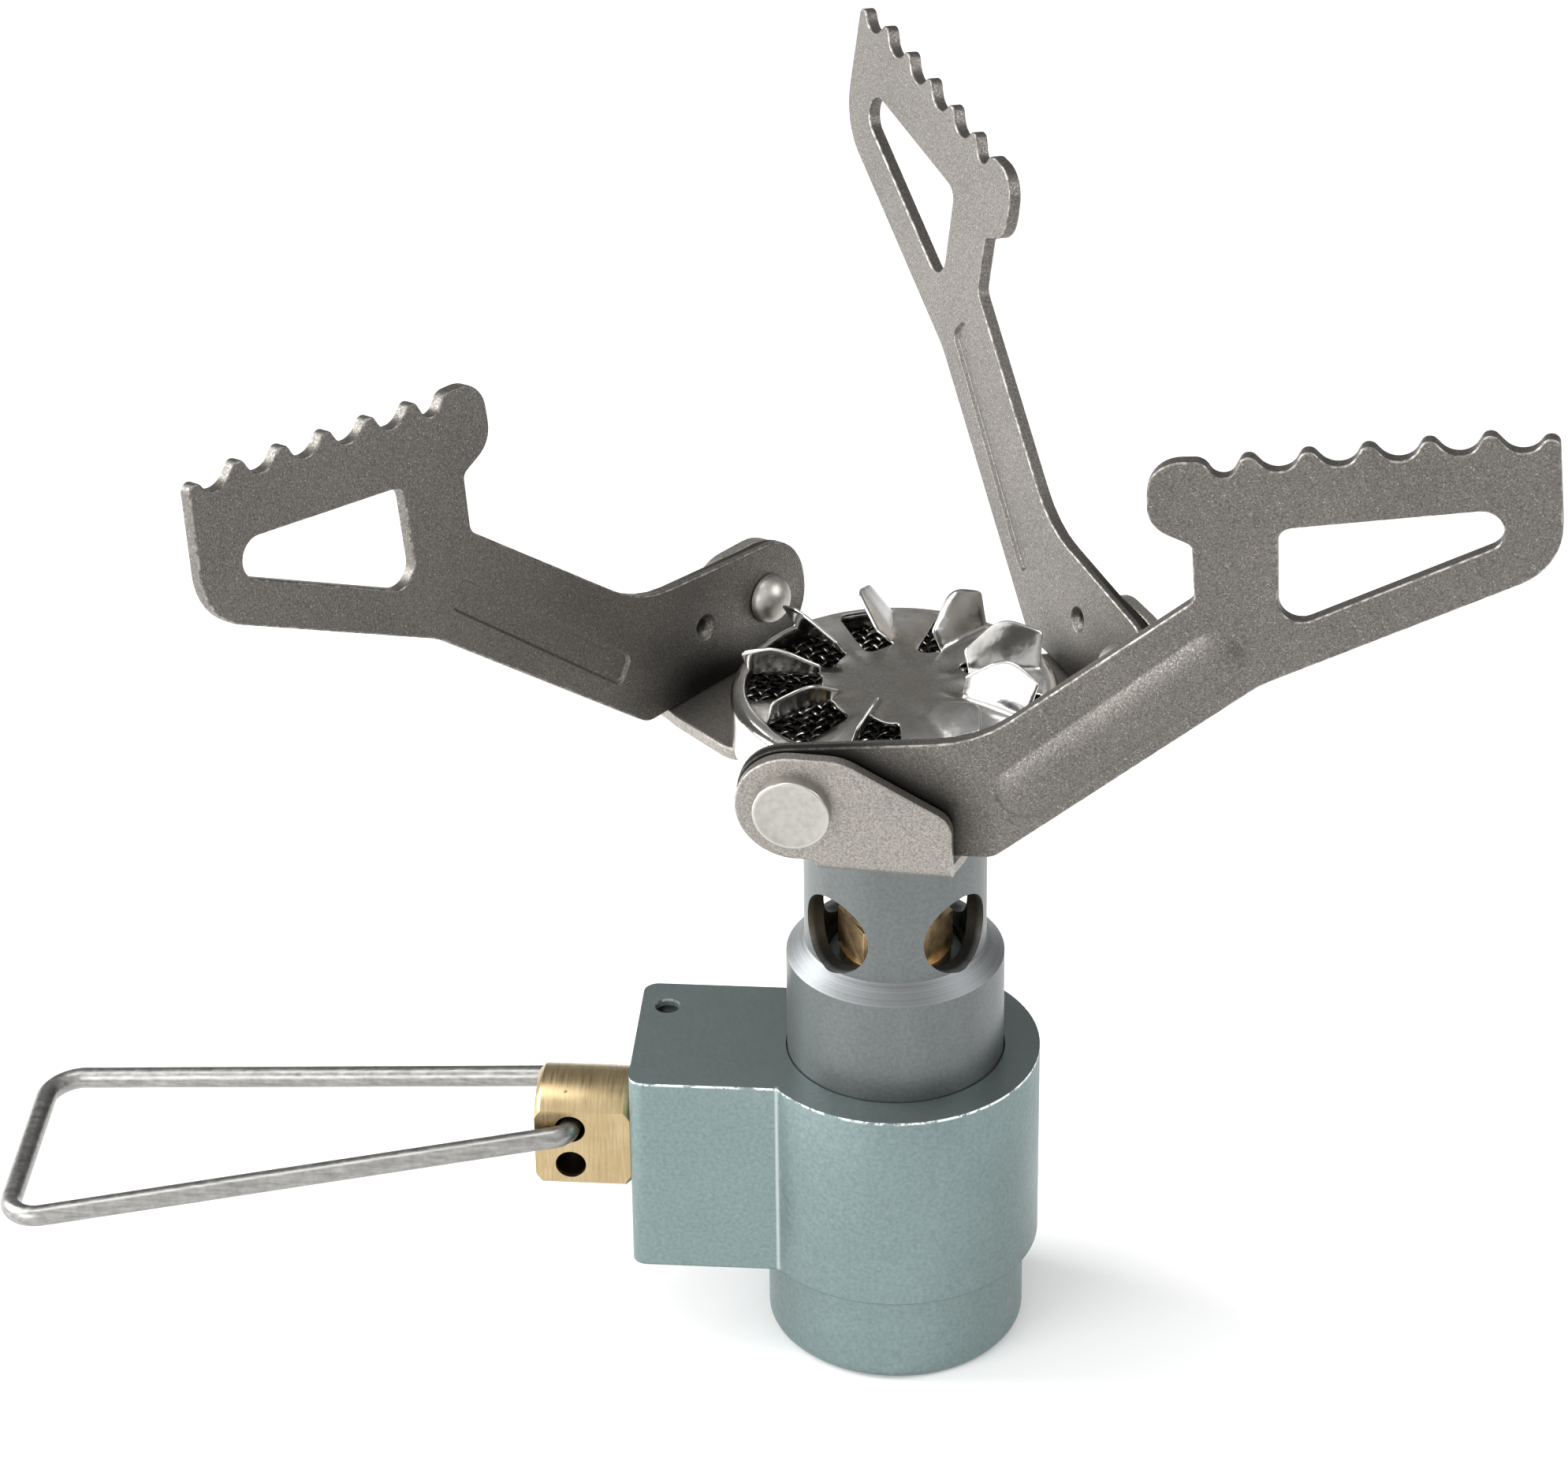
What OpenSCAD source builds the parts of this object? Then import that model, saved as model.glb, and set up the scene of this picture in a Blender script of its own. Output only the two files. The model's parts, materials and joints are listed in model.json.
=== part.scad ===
// Small canister-top camping stove.
// The origin is the centre of the collar's lower face, +Z up. The valve block and its handle point to -X.
// The three pot supports stand in a pinwheel: each lies in a plane beside the burner head and folds about a rivet.

/* [Valve body] */
// Diameter of the threaded collar
collar_d = 15.5; // [15:0.1:16]
// Height of the threaded collar
collar_h = 6.3; // [6:0.1:6.6]
// Diameter of the round part of the body
body_d = 17.3; // [17:0.1:18]
// Height of the body's top face
body_top = 19.45; // [19.2:0.05:19.8]
// Width of the valve block across its two flat sides
block_w = 10.9; // [10.6:0.1:11.4]
// Distance from the axis to the end of the valve block
block_reach = 15.6; // [15.4:0.1:15.8]
// Radius of the canister socket at the roots of its thread
socket_r = 5.6; // [5.58:0.01:5.65]
// Height of the threaded wall of the socket
socket_h = 5.3; // [5:0.1:5.4]

/* [Valve] */
// Height of the spindle's axis
spindle_z = 12.7; // [12.6:0.05:12.8]
// Diameter of the knob
knob_d = 7.24; // [7:0.02:7.4]
// Width of the knob across its flats
knob_flat_w = 5.2; // [5.1:0.05:5.3]
// Length of the knob
knob_l = 5.8; // [5.6:0.1:6]
// Distance between the two cross holes of the knob
cross_hole_gap = 2.56; // [2.4:0.02:2.6]

/* [Wire handle] */
// Diameter of the wire
wire_d = 1.3; // [1.2:0.05:1.4]
// Length of the loop from its pivot to its far end
handle_l = 34.2; // [30:0.2:38]
// Width of the loop at its far end, between the centres of the wire
handle_w = 15.4; // [13:0.2:17]
// Angle of the loop below the horizontal
handle_droop = 7.85; // [0:0.05:12]

/* [Burner tube] */
// Diameter of the lower, thicker part
tube_lower_d = 12.96; // [12.8:0.02:13.1]
// Diameter of the upper, thinner part
tube_upper_d = 10.8; // [10.6:0.05:10.9]
// Height at which the chamfer between the two parts starts
tube_step_z = 26.1; // [25.8:0.1:26.4]
// Diameter of the four air holes
air_hole_d = 5; // [4.4:0.1:5.4]
// Height of the air holes' centres
air_hole_z = 29.5; // [29.2:0.1:30]
// Angle of the first air hole
air_hole_angle = -41; // [-60:1:-20]

/* [Burner head] */
// Diameter of the cap
cap_d = 19.1; // [18.8:0.1:19.4]
// Height of the cap's top face
cap_top = 44.3; // [44.2:0.05:44.6]
// Number of fins
fins = 9; // [8:1:10]
// Angle of the first fin
fin_angle = 94; // [60:1:120]
// Height of a fin above the cap
fin_h = 3.1; // [2:0.1:3.3]
// Angle at which a fin is bent up
fin_bend = 68; // [60:1:80]

/* [Bracket] */
// Height of the bracket plate's top face
plate_top = 40.4; // [40.3:0.05:40.5]
// Thickness of the sheet of the bracket and of the pot supports
sheet = 0.8; // [0.7:0.05:0.85]
// Distance from the axis to a support's inner face, at the plate
support_distance = 12.2; // [12:0.1:12.6]
// Distance of each rivet behind the middle of its arm, front, right and left
rivet_back = [3.65, 3.65, 3.1];
// Rivet's height above the plate, along the ear
rivet_h = 3.6; // [3.6:0.05:3.8]
// Gap between a support and its ear
ear_gap = 0.2; // [0.15:0.05:0.25]

/* [Pot supports] */
// Turn of each support from its even place, front, right and left
arm_yaw = [-5, -1, -7];
// Outward lean of each support, front, right and left
arm_lean = [2.4, 7.2, 6.4];
// Lift of each support off its stop, front, right and left
arm_lift = [2, 0, -1.4];
// Number of small teeth
teeth = 6; // [4:1:6]
// Depth of the notches between the teeth
tooth_depth = 1.1; // [0.8:0.05:1.2]
// Height of the pressed rib
rib_h = 0.55; // [0.4:0.05:0.6]

/* [Hidden] */
$fn = 64;

cut = 0.01;             // overshoot of a cut past a face
lap = 0.04;             // overlap of two joined stretches of one piece
run = 0.05;             // radial clearance of a running fit
FRONT = 0;
RIGHT = 1;
LEFT = 2;

// Valve body
collar_round = 0.8;     // rounding of the collar's lower edge
block_round = 0.9;      // rounding of the block's upright edges
well_r = 6.56;          // well in the body's top that takes the tube
well_z = 16.5;
boss_r = 3.95;          // threaded boss that the tube screws on
boss_top = 26;
seal_r = 4.7;           // seat of the canister seal
seal_top = 8.2;
relief_r = 5.9;         // thread relief above the socket's thread
relief_top = 6.3;
channel_r = 0.6;
outlet_x = -1.9;        // upright gas channel from the valve to the jet

// Spindle, along the x axis of the body
gland_r = 2.65;
gland_x = -8.4;         // inner end of the wide bore
stem_bore_r = 1.55;
stem_end_x = -1.3;
seat_r = 0.45;
pin_x = -14;
pin_r = 0.75;
pin_y = 2.98;
groove_r = 2.18;        // bottom of the retaining groove
groove_w = 2.7;
stub_r = 1.8;           // end of the spindle that sits in the knob
stub_l = 2.3;
seal_groove_r = 1.11;
seal_groove_w = 0.6;
seal_x = [-4.6, -6.4];

// Knob and handle
knob_gap = 0.25;
knob_x = -block_reach - knob_gap;
cross_hole_r = 0.92;
cross_hole_x = knob_x - knob_l + 2.15;
pivot_z = spindle_z + cross_hole_gap / 2;
wire_r = wire_d / 2;
wire_end_y = 0.9;       // where each end of the wire stops inside the knob
bend_swell = 0.01;      // the wire is this much thicker, in radius, where it is bent
leg_y = 3.2;            // half width of the loop at the pivot
hook_r = 1;             // bend beside the knob
loop_r = 2;             // bends at the far end

// Burner tube
tube_floor = well_z + 0.05;
tube_bore_r = boss_r + 0.03;
mixing_r = 4.3;
chamfer_h = 1;
spigot_r = 4.9;
spigot_top = 41.7;
plate_bottom = plate_top - sheet;

// Burner head
cup_wall_r = 9;
cup_sheet = 0.35;
cup_top = 42.7;
cap_sheet = 0.35;
cap_round = 0.9;        // rounding of the cap's shoulder
mesh_h = 0.5;
opening_in = 4.3;       // inner and outer radius of the openings under the fins
opening_out = 8.6;
opening_angle = 22;
fin_sheet = 0.3;

// Ears and rivets
ear_round = 3.3;
ear_end = 8.95;         // from the rivet to the ear's far edge
ear_start = 1.2;        // from the rivet to the start of the bend
bend_in = 0.5;          // inner radius of the bend
ear_offset = sheet + ear_gap;
rivet_r = 1.1;
rivet_head_r = 2.2;
rivet_head_h = 0.75;
dome_r = 1.5;
dome_h = 1.15;
rivet_play = 0.08;      // between the domed head and the support

// Rib pressed into a pot support: its two ends, and the sphere and cylinder radius that shape it
rib_a = [12.9, 1.2];
rib_b = [23.6, 10.4];
rib_half = 1.7;
groove_half = 0.95;
groove_depth = 0.25;
dimple_u = 5.45;
dimple_w = 0.45;
dimple_r = 0.75;

// ---- helpers ----

function unit(v) = v / norm(v);
function xy(p) = [p[0], p[1]];

// Points that round the corner q between p and s with a radius
function corner_arc(p, q, s, r) =
  let (a = unit(p - q), b = unit(s - q), half = acos(a * b) / 2)
  let (centre = q + unit(a + b) * r / sin(half), start = q + a * r / tan(half) - centre)
  let (finish = q + b * r / tan(half) - centre, from = atan2(start[1], start[0]))
  let (turn = (atan2(finish[1], finish[0]) - from + 900) % 360 - 180, steps = ceil(abs(turn) / 12))
  [for (i = [0:steps]) centre + r * [cos(from + turn * i / steps), sin(from + turn * i / steps)]];

// Outline whose corners are given as [x, y, radius]
function rounded(c) =
  [for (i = [0:len(c) - 1])
    let (p = c[(i + len(c) - 1) % len(c)], q = c[i], s = c[(i + 1) % len(c)])
    each (q[2] > 0 ? corner_arc(xy(p), xy(q), xy(s), q[2]) : [xy(q)])];

// Cylinder from x0 to x1 on the spindle's axis
module along_spindle(x0, x1, r, r2 = undef) {
  translate([x0, 0, spindle_z]) rotate([0, 90, 0]) cylinder(h = x1 - x0, r1 = r, r2 = r2 == undef ? r : r2);
}

module tube_of(z0, z1, r) {
  translate([0, 0, z0]) cylinder(h = z1 - z0, r = r);
}

// Moves its children into the plane of an arm: x along the arm, y inward, z up the sheet, origin at the plate
module arm_plane(arm) {
  rotate([0, 0, 120 * arm + arm_yaw[arm]])
    translate([0, -support_distance, plate_top])
      rotate([arm_lean[arm], 0, 0])
        children();
}

// Stands a flat outline up in the arm's plane, its back at the given depth outward
module sheet_outline(points, depth, thickness) {
  translate([0, -depth, 0]) rotate([90, 0, 0]) linear_extrude(thickness) polygon(points);
}

// ---- valve body ----

module body_shape() {
  rotate_extrude() polygon(concat(
    [[0, 0]],
    [for (a = [-90:15:0]) [collar_d / 2 - collar_round + collar_round * cos(a), collar_round + collar_round * sin(a)]],
    [[collar_d / 2, collar_h + cut], [0, collar_h + cut]]
  ));
  tube_of(collar_h, body_top, body_d / 2);
  block_h = body_top - collar_h;
  corner_y = block_w / 2 - block_round;
  translate([-block_reach + block_round, -block_w / 2, collar_h]) cube([block_reach - block_round, block_w, block_h]);
  translate([-block_reach, -corner_y, collar_h]) cube([block_reach, 2 * corner_y, block_h]);
  for (side = [-1, 1])
    translate([-block_reach + block_round, side * corner_y, collar_h]) cylinder(h = block_h, r = block_round);
}

module valve_body() {
  color([0.45, 0.55, 0.55])
  difference() {
    union() {
      difference() {
        body_shape();
        tube_of(well_z, body_top + cut, well_r);
      }
      tube_of(well_z - cut, boss_top, boss_r);
    }
    tube_of(-cut, socket_h + cut, socket_r);
    tube_of(socket_h, relief_top, relief_r);
    tube_of(relief_top - cut, seal_top, seal_r);
    tube_of(seal_top - cut, seal_top + 0.8, 2.2);
    tube_of(seal_top, spindle_z, channel_r);
    along_spindle(-block_reach - cut, gland_x, gland_r);
    along_spindle(gland_x - cut, stem_end_x, stem_bore_r);
    along_spindle(stem_end_x - cut, channel_r / 2, seat_r);
    translate([outlet_x, 0, 0]) tube_of(spindle_z, boss_top - 4.9, channel_r);
    tube_of(boss_top - 5, boss_top + cut, 1.95);
    translate([pin_x, pin_y, 9]) cylinder(h = body_top - 9 + cut, r = pin_r + 0.02);
  }
}

module canister_seal() {
  color([0.08, 0.08, 0.08])
  translate([0, 0, seal_top - 0.8]) rotate_extrude() translate([seal_r - 0.8, 0]) circle(r = 0.78);
}

module depressor_pin() {
  color([0.78, 0.78, 0.76])
  difference() {
    union() {
      tube_of(socket_h + 0.2, seal_top - 0.3, 0.8);
      tube_of(seal_top - 0.6, seal_top, 2.6);
    }
    for (a = [0:60:300])
      rotate([0, 0, a]) translate([1.6, 0, seal_top - 0.7]) cylinder(h = 0.8, r = 0.4);
  }
}

module gas_filter() {
  color([0.72, 0.6, 0.38]) tube_of(seal_top, seal_top + 0.78, 2.18);
}

module retaining_pin() {
  color([0.7, 0.7, 0.68])
  translate([pin_x, pin_y, 9.2]) cylinder(h = body_top - 9.2 - 0.45, r = pin_r);
}

// ---- valve ----

module spindle() {
  color([0.78, 0.66, 0.42])
  difference() {
    union() {
      along_spindle(stem_end_x - 1.2, stem_end_x + 0.25, 1.3, 0.2);
      along_spindle(gland_x - 0.2, stem_end_x - 1.2, stem_bore_r - run);
      along_spindle(knob_x, gland_x - 0.1, gland_r - run);
      along_spindle(knob_x - stub_l, knob_x, stub_r);
    }
    difference() {
      along_spindle(pin_x - groove_w / 2, pin_x + groove_w / 2, gland_r + cut);
      along_spindle(pin_x - groove_w, pin_x + groove_w, groove_r);
    }
    for (x = seal_x) difference() {
      along_spindle(x - seal_groove_w / 2, x + seal_groove_w / 2, stem_bore_r);
      along_spindle(x - seal_groove_w, x + seal_groove_w, seal_groove_r);
    }
  }
}

module spindle_seals() {
  section_r = (stem_bore_r - seal_groove_r) / 2 - 0.01;
  color([0.1, 0.1, 0.1])
  for (x = seal_x)
    translate([x, 0, spindle_z]) rotate([0, 90, 0])
      rotate_extrude() translate([(stem_bore_r + seal_groove_r) / 2, 0]) circle(r = section_r);
}

module knob() {
  chamfer = 0.35;
  r = knob_d / 2;
  color([0.8, 0.67, 0.42])
  difference() {
    intersection() {
      translate([knob_x, 0, spindle_z]) rotate([0, -90, 0]) rotate_extrude()
        polygon([[0, 0], [r - chamfer, 0], [r, chamfer], [r, knob_l - chamfer], [r - chamfer, knob_l], [0, knob_l]]);
      translate([knob_x - knob_l - 1, -knob_flat_w / 2, spindle_z - knob_d])
        cube([knob_l + 2, knob_flat_w, 2 * knob_d]);
    }
    along_spindle(knob_x - stub_l, knob_x + cut, stub_r);
    for (side = [-1, 1])
      translate([cross_hole_x, 0, spindle_z + side * cross_hole_gap / 2]) rotate([90, 0, 0])
        cylinder(h = 2 * knob_flat_w, r = cross_hole_r, center = true);
  }
}

// Straight piece of wire between two points of the loop's plane
module wire_between(p, q) {
  d = q - p;
  translate([p[0], p[1], 0]) rotate([0, 0, atan2(d[1], d[0])]) rotate([0, 90, 0])
    translate([0, 0, -lap]) cylinder(h = norm(d) + 2 * lap, r = wire_r);
}

// Bend at the corner q of the loop, from the side of p to the side of s
module wire_bend(p, q, s, r) {
  a = unit(p - q);
  b = unit(s - q);
  half = acos(a * b) / 2;
  centre = q + unit(a + b) * r / sin(half);
  mid = q - centre;
  turn = 180 - 2 * half;
  translate([centre[0], centre[1], 0]) rotate([0, 0, atan2(mid[1], mid[0]) - turn / 2])
    rotate_extrude(angle = turn) translate([r, 0]) circle(r = wire_r + bend_swell);
}

module wire_handle() {
  // half of the loop: end in the knob, hook beside the knob, far corner, middle of the far end
  path = [[0, wire_end_y], [0, leg_y], [handle_l, handle_w / 2], [handle_l, 0]];
  leg = unit(path[2] - path[1]);
  hook_cut = hook_r / tan(acos(-leg[1]) / 2);
  loop_cut = loop_r / tan(acos(leg[1]) / 2);
  far_y = handle_w / 2 - loop_cut;
  color([0.75, 0.75, 0.73])
  translate([cross_hole_x, 0, pivot_z]) rotate([0, -handle_droop, 0]) mirror([1, 0, 0]) {
    for (side = [0, 1]) mirror([0, side, 0]) {
      wire_between(path[0], path[1] - [0, hook_cut]);
      wire_bend(path[0], path[1], path[2], hook_r);
      wire_between(path[1] + leg * hook_cut, path[2] - leg * loop_cut);
      wire_bend(path[1], path[2], path[3], loop_r);
    }
    wire_between([handle_l, -far_y], [handle_l, far_y]);
  }
}

// ---- burner tube and jet ----

module burner_tube() {
  lower_r = tube_lower_d / 2;
  upper_r = tube_upper_d / 2;
  color([0.42, 0.44, 0.45])
  difference() {
    rotate_extrude() polygon([
      [tube_bore_r, tube_floor], [lower_r, tube_floor], [lower_r, tube_step_z],
      [upper_r, tube_step_z + chamfer_h], [upper_r, plate_bottom], [spigot_r, plate_bottom],
      [spigot_r, spigot_top], [mixing_r, spigot_top], [mixing_r, tube_step_z + 0.4], [tube_bore_r, tube_step_z + 0.4]
    ]);
    for (i = [0:3])
      rotate([0, 0, air_hole_angle + 90 * i]) translate([0, 0, air_hole_z]) rotate([0, 90, 0])
        cylinder(h = tube_lower_d, r = air_hole_d / 2);
  }
}

module jet() {
  color([0.8, 0.62, 0.35])
  difference() {
    union() {
      tube_of(boss_top - 4.5, boss_top, 1.93);
      tube_of(boss_top, boss_top + 0.6, 3.3);
      intersection() {
        translate([0, 0, boss_top + 0.5]) cylinder(h = 3.3, r = 3.4, $fn = 6);
        tube_of(boss_top, boss_top + 2.9, 4);
      }
      translate([0, 0, boss_top + 2.9]) cylinder(h = 1.1, r1 = 2.9, r2 = 1.6);
    }
    tube_of(boss_top - 5, boss_top + 3.2, 0.8);
    tube_of(boss_top, boss_top + 5, 0.16);
  }
}

// ---- bracket and burner head ----

// Everything of one arm of the bracket: the flat arm, the bend and the ear
module bracket_arm(arm) {
  lean = arm_lean[arm];
  start = ear_start - rivet_back[arm];
  finish = ear_end - rivet_back[arm];
  // centre of the bend, in the leaning plane and from the axis
  bend_h = (bend_in + (ear_offset - bend_in) * sin(lean)) / cos(lean);
  bend_y = -(ear_offset - bend_in);
  bend_distance = support_distance - bend_y * cos(lean) + bend_h * sin(lean);
  low = bend_h - rivet_h - lap;
  rotate([0, 0, 120 * arm + arm_yaw[arm]]) {
    translate([0, 0, plate_bottom]) linear_extrude(sheet) polygon(rounded([
      [start, -bend_distance - lap, 0], [finish, -bend_distance - lap, 0], [finish + 0.35, -bend_distance + 1.2, 0.4],
      [finish + 1.1, -7, 2], [finish, 0, 0], [start, 0, 0], [start - 1.2, -7.5, 2]
    ]));
  }
  arm_plane(arm) {
    translate([start, bend_y, bend_h]) rotate([0, 90, 0]) rotate([0, 0, -90])
      rotate_extrude(angle = 90 - lean) translate([bend_in, 0]) square([sheet, finish - start]);
    difference() {
      translate([-rivet_back[arm], 0, rivet_h]) sheet_outline(rounded([
        [ear_end, low, 0], [ear_end, -0.17, 1.5], [2.75, ear_round, 3], [-ear_round, ear_round, ear_round - 0.05],
        [-ear_round, -ear_round, ear_round - 0.05], [ear_start, -ear_round, 0], [ear_start, low, 0]
      ]), ear_offset, sheet);
      translate([-rivet_back[arm], 0, rivet_h]) rotate([90, 0, 0]) cylinder(h = 4, r = rivet_r + 0.01);
    }
  }
}

module bracket() {
  color([0.6, 0.58, 0.56])
  difference() {
    union() {
      tube_of(plate_bottom, plate_top, 8.4);
      for (arm = [FRONT, RIGHT, LEFT]) bracket_arm(arm);
    }
    tube_of(plate_bottom - cut, plate_top + cut, spigot_r + 0.03);
  }
}

module burner_cup() {
  color([0.72, 0.72, 0.72])
  difference() {
    tube_of(plate_top, cup_top, cup_wall_r);
    tube_of(plate_top + cup_sheet, cup_top + cut, cup_wall_r - cup_sheet);
    tube_of(plate_top - cut, cup_top, spigot_r + 0.03);
  }
}

module clamp_ring() {
  color([0.7, 0.7, 0.68])
  difference() {
    tube_of(plate_top + cup_sheet, spigot_top - 0.1, 6.2);
    tube_of(plate_top, spigot_top, spigot_r + 0.01);
  }
}

module flame_mesh() {
  color([0.15, 0.15, 0.15]) tube_of(cup_top, cup_top + mesh_h, cup_wall_r - 0.05);
}

// Outline of a fin, from its hinge line up
module fin() {
  rotate([90, 0, 0]) linear_extrude(fin_sheet) polygon(rounded([
    [opening_in + 0.1, -0.1, 0], [opening_out - 0.1, -0.1, 0], [opening_out + 0.2, fin_h - 0.6, 0.7],
    [opening_in + 2.6, fin_h, 1], [opening_in + 0.2, fin_h - 1.5, 0.7]
  ]));
}

module burner_cap() {
  r = cap_d / 2;
  low = plate_top + 0.4;
  inner = r - cap_sheet;
  top_arc = [for (a = [0:15:90]) [r - cap_round + cap_round * cos(a), cap_top - cap_round + cap_round * sin(a)]];
  under_r = cap_round - cap_sheet;
  under_arc = [for (a = [90:-15:0]) [r - cap_round + under_r * cos(a), cap_top - cap_round + under_r * sin(a)]];
  color([0.8, 0.8, 0.8]) {
    difference() {
      rotate_extrude() polygon(concat([[0, cap_top - cap_sheet], [0, cap_top]],
        [for (i = [len(top_arc) - 1:-1:0]) top_arc[i]], [[r, low], [inner, low]],
        [for (i = [len(under_arc) - 1:-1:0]) under_arc[i]]));
      for (i = [0:fins - 1]) rotate([0, 0, fin_angle + 360 / fins * i])
        translate([0, 0, cap_top - 2 * cap_sheet]) rotate_extrude(angle = opening_angle)
          translate([opening_in, 0]) square([opening_out - opening_in, 4 * cap_sheet]);
    }
    for (i = [0:fins - 1]) rotate([0, 0, fin_angle + 360 / fins * i])
      translate([0, 0, cap_top - fin_sheet]) rotate([fin_bend - 90, 0, 0]) fin();
  }
}

// ---- pot supports ----

// Corner points of a pot support, measured from its rivet, as [along, up, radius]
function support_corners() =
  let (slope = 8.3, pitch = 3.21, first = [25.4, 23.05], tip_r = 0.5, notch_r = 1.2)
  let (row = [cos(slope), sin(slope)], up = [-sin(slope), cos(slope)], rise = 0.4, drop = tooth_depth + 0.8)
  concat(
    [[-3.35, 3.05, 3.1], [-3.35, -3.3, 3.2], [11, -3.3, 1.5], [26, 8.85, 6], [42.2, 17.1, 4]],
    [[41.75, 25.9, 0.5]],
    [for (i = [teeth - 2:-1:0])
      for (tip = [0, 1])
        let (p = first + row * pitch * (i + (1 - tip) / 2) + up * (tip == 1 ? rise : -drop))
        [p[0], p[1], tip == 1 ? tip_r : notch_r]],
    [[24.1, 20.9, 0.8], [23.1, 22.7, 0.9], [20.05, 22.5, 2], [20, 18.55, 1.8], [22.4, 17.5, 0.5],
     [22.5, 14.05, 0.8], [10.3, 4.25, 8]]
  );

function window_corners() = [[27, 12.25, 1.2], [44.9, 21.4, 1.2], [27, 18.7, 0.9]];

// Half of a capsule from a to b, the part that stands below the plane z = 0 by the height h
module capsule_cut(a, b, half_width, h) {
  r = (half_width * half_width + h * h) / (2 * h);
  d = b - a;
  intersection() {
    translate([0, 0, r - h]) {
      translate([a[0], a[1], 0]) sphere(r = r);
      translate([b[0], b[1], 0]) sphere(r = r);
      translate([a[0], a[1], 0]) rotate([0, 0, atan2(d[1], d[0])]) rotate([0, 90, 0]) cylinder(h = norm(d), r = r);
    }
    translate([-10, -20, -h - 1]) cube([60, 60, h + 1]);
  }
}

module pot_support(arm) {
  color([0.56, 0.54, 0.52])
  arm_plane(arm) translate([-rivet_back[arm], 0, rivet_h]) rotate([0, -arm_lift[arm], 0]) rotate([90, 0, 0])
  difference() {
    union() {
      linear_extrude(sheet) difference() {
        polygon(rounded(support_corners()));
        polygon(rounded(window_corners()));
      }
      translate([0, 0, sheet]) mirror([0, 0, 1]) capsule_cut(rib_a, rib_b, rib_half, rib_h);
    }
    mirror([0, 0, 1]) capsule_cut(rib_a, rib_b, groove_half, groove_depth);
    translate([0, 0, -1]) cylinder(h = 3, r = rivet_r + run);
    translate([dimple_u, dimple_w, -dimple_r / 2]) sphere(r = dimple_r);
  }
}

module support_rivet(arm) {
  outer_face = ear_offset + sheet;
  color([0.68, 0.67, 0.64])
  arm_plane(arm) translate([-rivet_back[arm], 0, rivet_h]) rotate([90, 0, 0]) {
    translate([0, 0, -rivet_play - 0.1]) cylinder(h = outer_face + rivet_play + 0.2, r = rivet_r);
    translate([0, 0, outer_face]) rotate_extrude() polygon([[0, 0], [rivet_head_r, 0],
      [rivet_head_r, rivet_head_h - 0.15], [rivet_head_r - 0.15, rivet_head_h], [0, rivet_head_h]]);
    translate([0, 0, -rivet_play]) rotate_extrude() polygon(concat([[0, 0]],
      [for (a = [0:-15:-90]) [dome_r * cos(a), dome_h * sin(a)]]));
  }
}

module pot_support_front() { pot_support(FRONT); }
module pot_support_right() { pot_support(RIGHT); }
module pot_support_left() { pot_support(LEFT); }
module support_rivet_front() { support_rivet(FRONT); }
module support_rivet_right() { support_rivet(RIGHT); }
module support_rivet_left() { support_rivet(LEFT); }

valve_body();
canister_seal();
depressor_pin();
gas_filter();
jet();
burner_tube();
bracket();
burner_cup();
clamp_ring();
flame_mesh();
burner_cap();
spindle();
spindle_seals();
retaining_pin();
knob();
wire_handle();
pot_support_front();
pot_support_right();
pot_support_left();
support_rivet_front();
support_rivet_right();
support_rivet_left();
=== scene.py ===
import json
import math
import random

import bpy
from mathutils import Matrix, Vector, geometry


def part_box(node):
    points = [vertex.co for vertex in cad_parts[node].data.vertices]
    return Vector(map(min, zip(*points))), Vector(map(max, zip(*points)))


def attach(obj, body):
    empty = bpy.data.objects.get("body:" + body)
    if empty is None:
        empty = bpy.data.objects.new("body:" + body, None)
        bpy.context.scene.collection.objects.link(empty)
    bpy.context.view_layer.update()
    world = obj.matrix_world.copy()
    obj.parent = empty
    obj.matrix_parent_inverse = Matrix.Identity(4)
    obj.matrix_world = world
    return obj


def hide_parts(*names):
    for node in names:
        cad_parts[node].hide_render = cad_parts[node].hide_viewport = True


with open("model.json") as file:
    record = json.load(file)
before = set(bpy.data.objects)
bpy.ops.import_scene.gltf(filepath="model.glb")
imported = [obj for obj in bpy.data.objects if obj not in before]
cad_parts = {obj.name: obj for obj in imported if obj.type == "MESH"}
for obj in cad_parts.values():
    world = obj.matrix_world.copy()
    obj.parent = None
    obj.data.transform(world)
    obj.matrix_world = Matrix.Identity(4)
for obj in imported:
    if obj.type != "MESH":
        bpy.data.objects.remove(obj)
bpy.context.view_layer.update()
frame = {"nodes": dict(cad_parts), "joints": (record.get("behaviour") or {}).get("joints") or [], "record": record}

# Lengths are in millimetres and angles in degrees, up to the calls that make a mesh, a light or the camera.
MM = 0.001
ARMS = ("front", "right", "left")
UP = Vector((0, 0, 1))

random.seed(7)


# ---- sizes taken from the frame ----

def box_mm(node):
    """Lowest and highest corner of a CAD node, in millimetres."""
    low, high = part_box(node)
    return low / MM, high / MM


def joint_of(name):
    """Place and axis of a joint, in millimetres."""
    joint = next(j for j in frame["joints"] if j["name"] == name)
    return Vector(joint["pos_m"]) / MM, Vector(joint["axis"]).normalized()


PLATE_BOTTOM = box_mm("bracket")[0].z
CAP_LOW, CAP_HIGH = box_mm("burner_cap")
CAP_R = CAP_HIGH.y
GAUZE_LOW, GAUZE_HIGH = box_mm("flame_mesh")
GAUZE_MIDDLE = (GAUZE_LOW.z + GAUZE_HIGH.z) / 2
CAP_TOP = GAUZE_HIGH.z + 1.1
SOCKET = next(m for m in frame["record"]["mounts"] if m["name"] == "canister_socket")["dims"]

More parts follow.
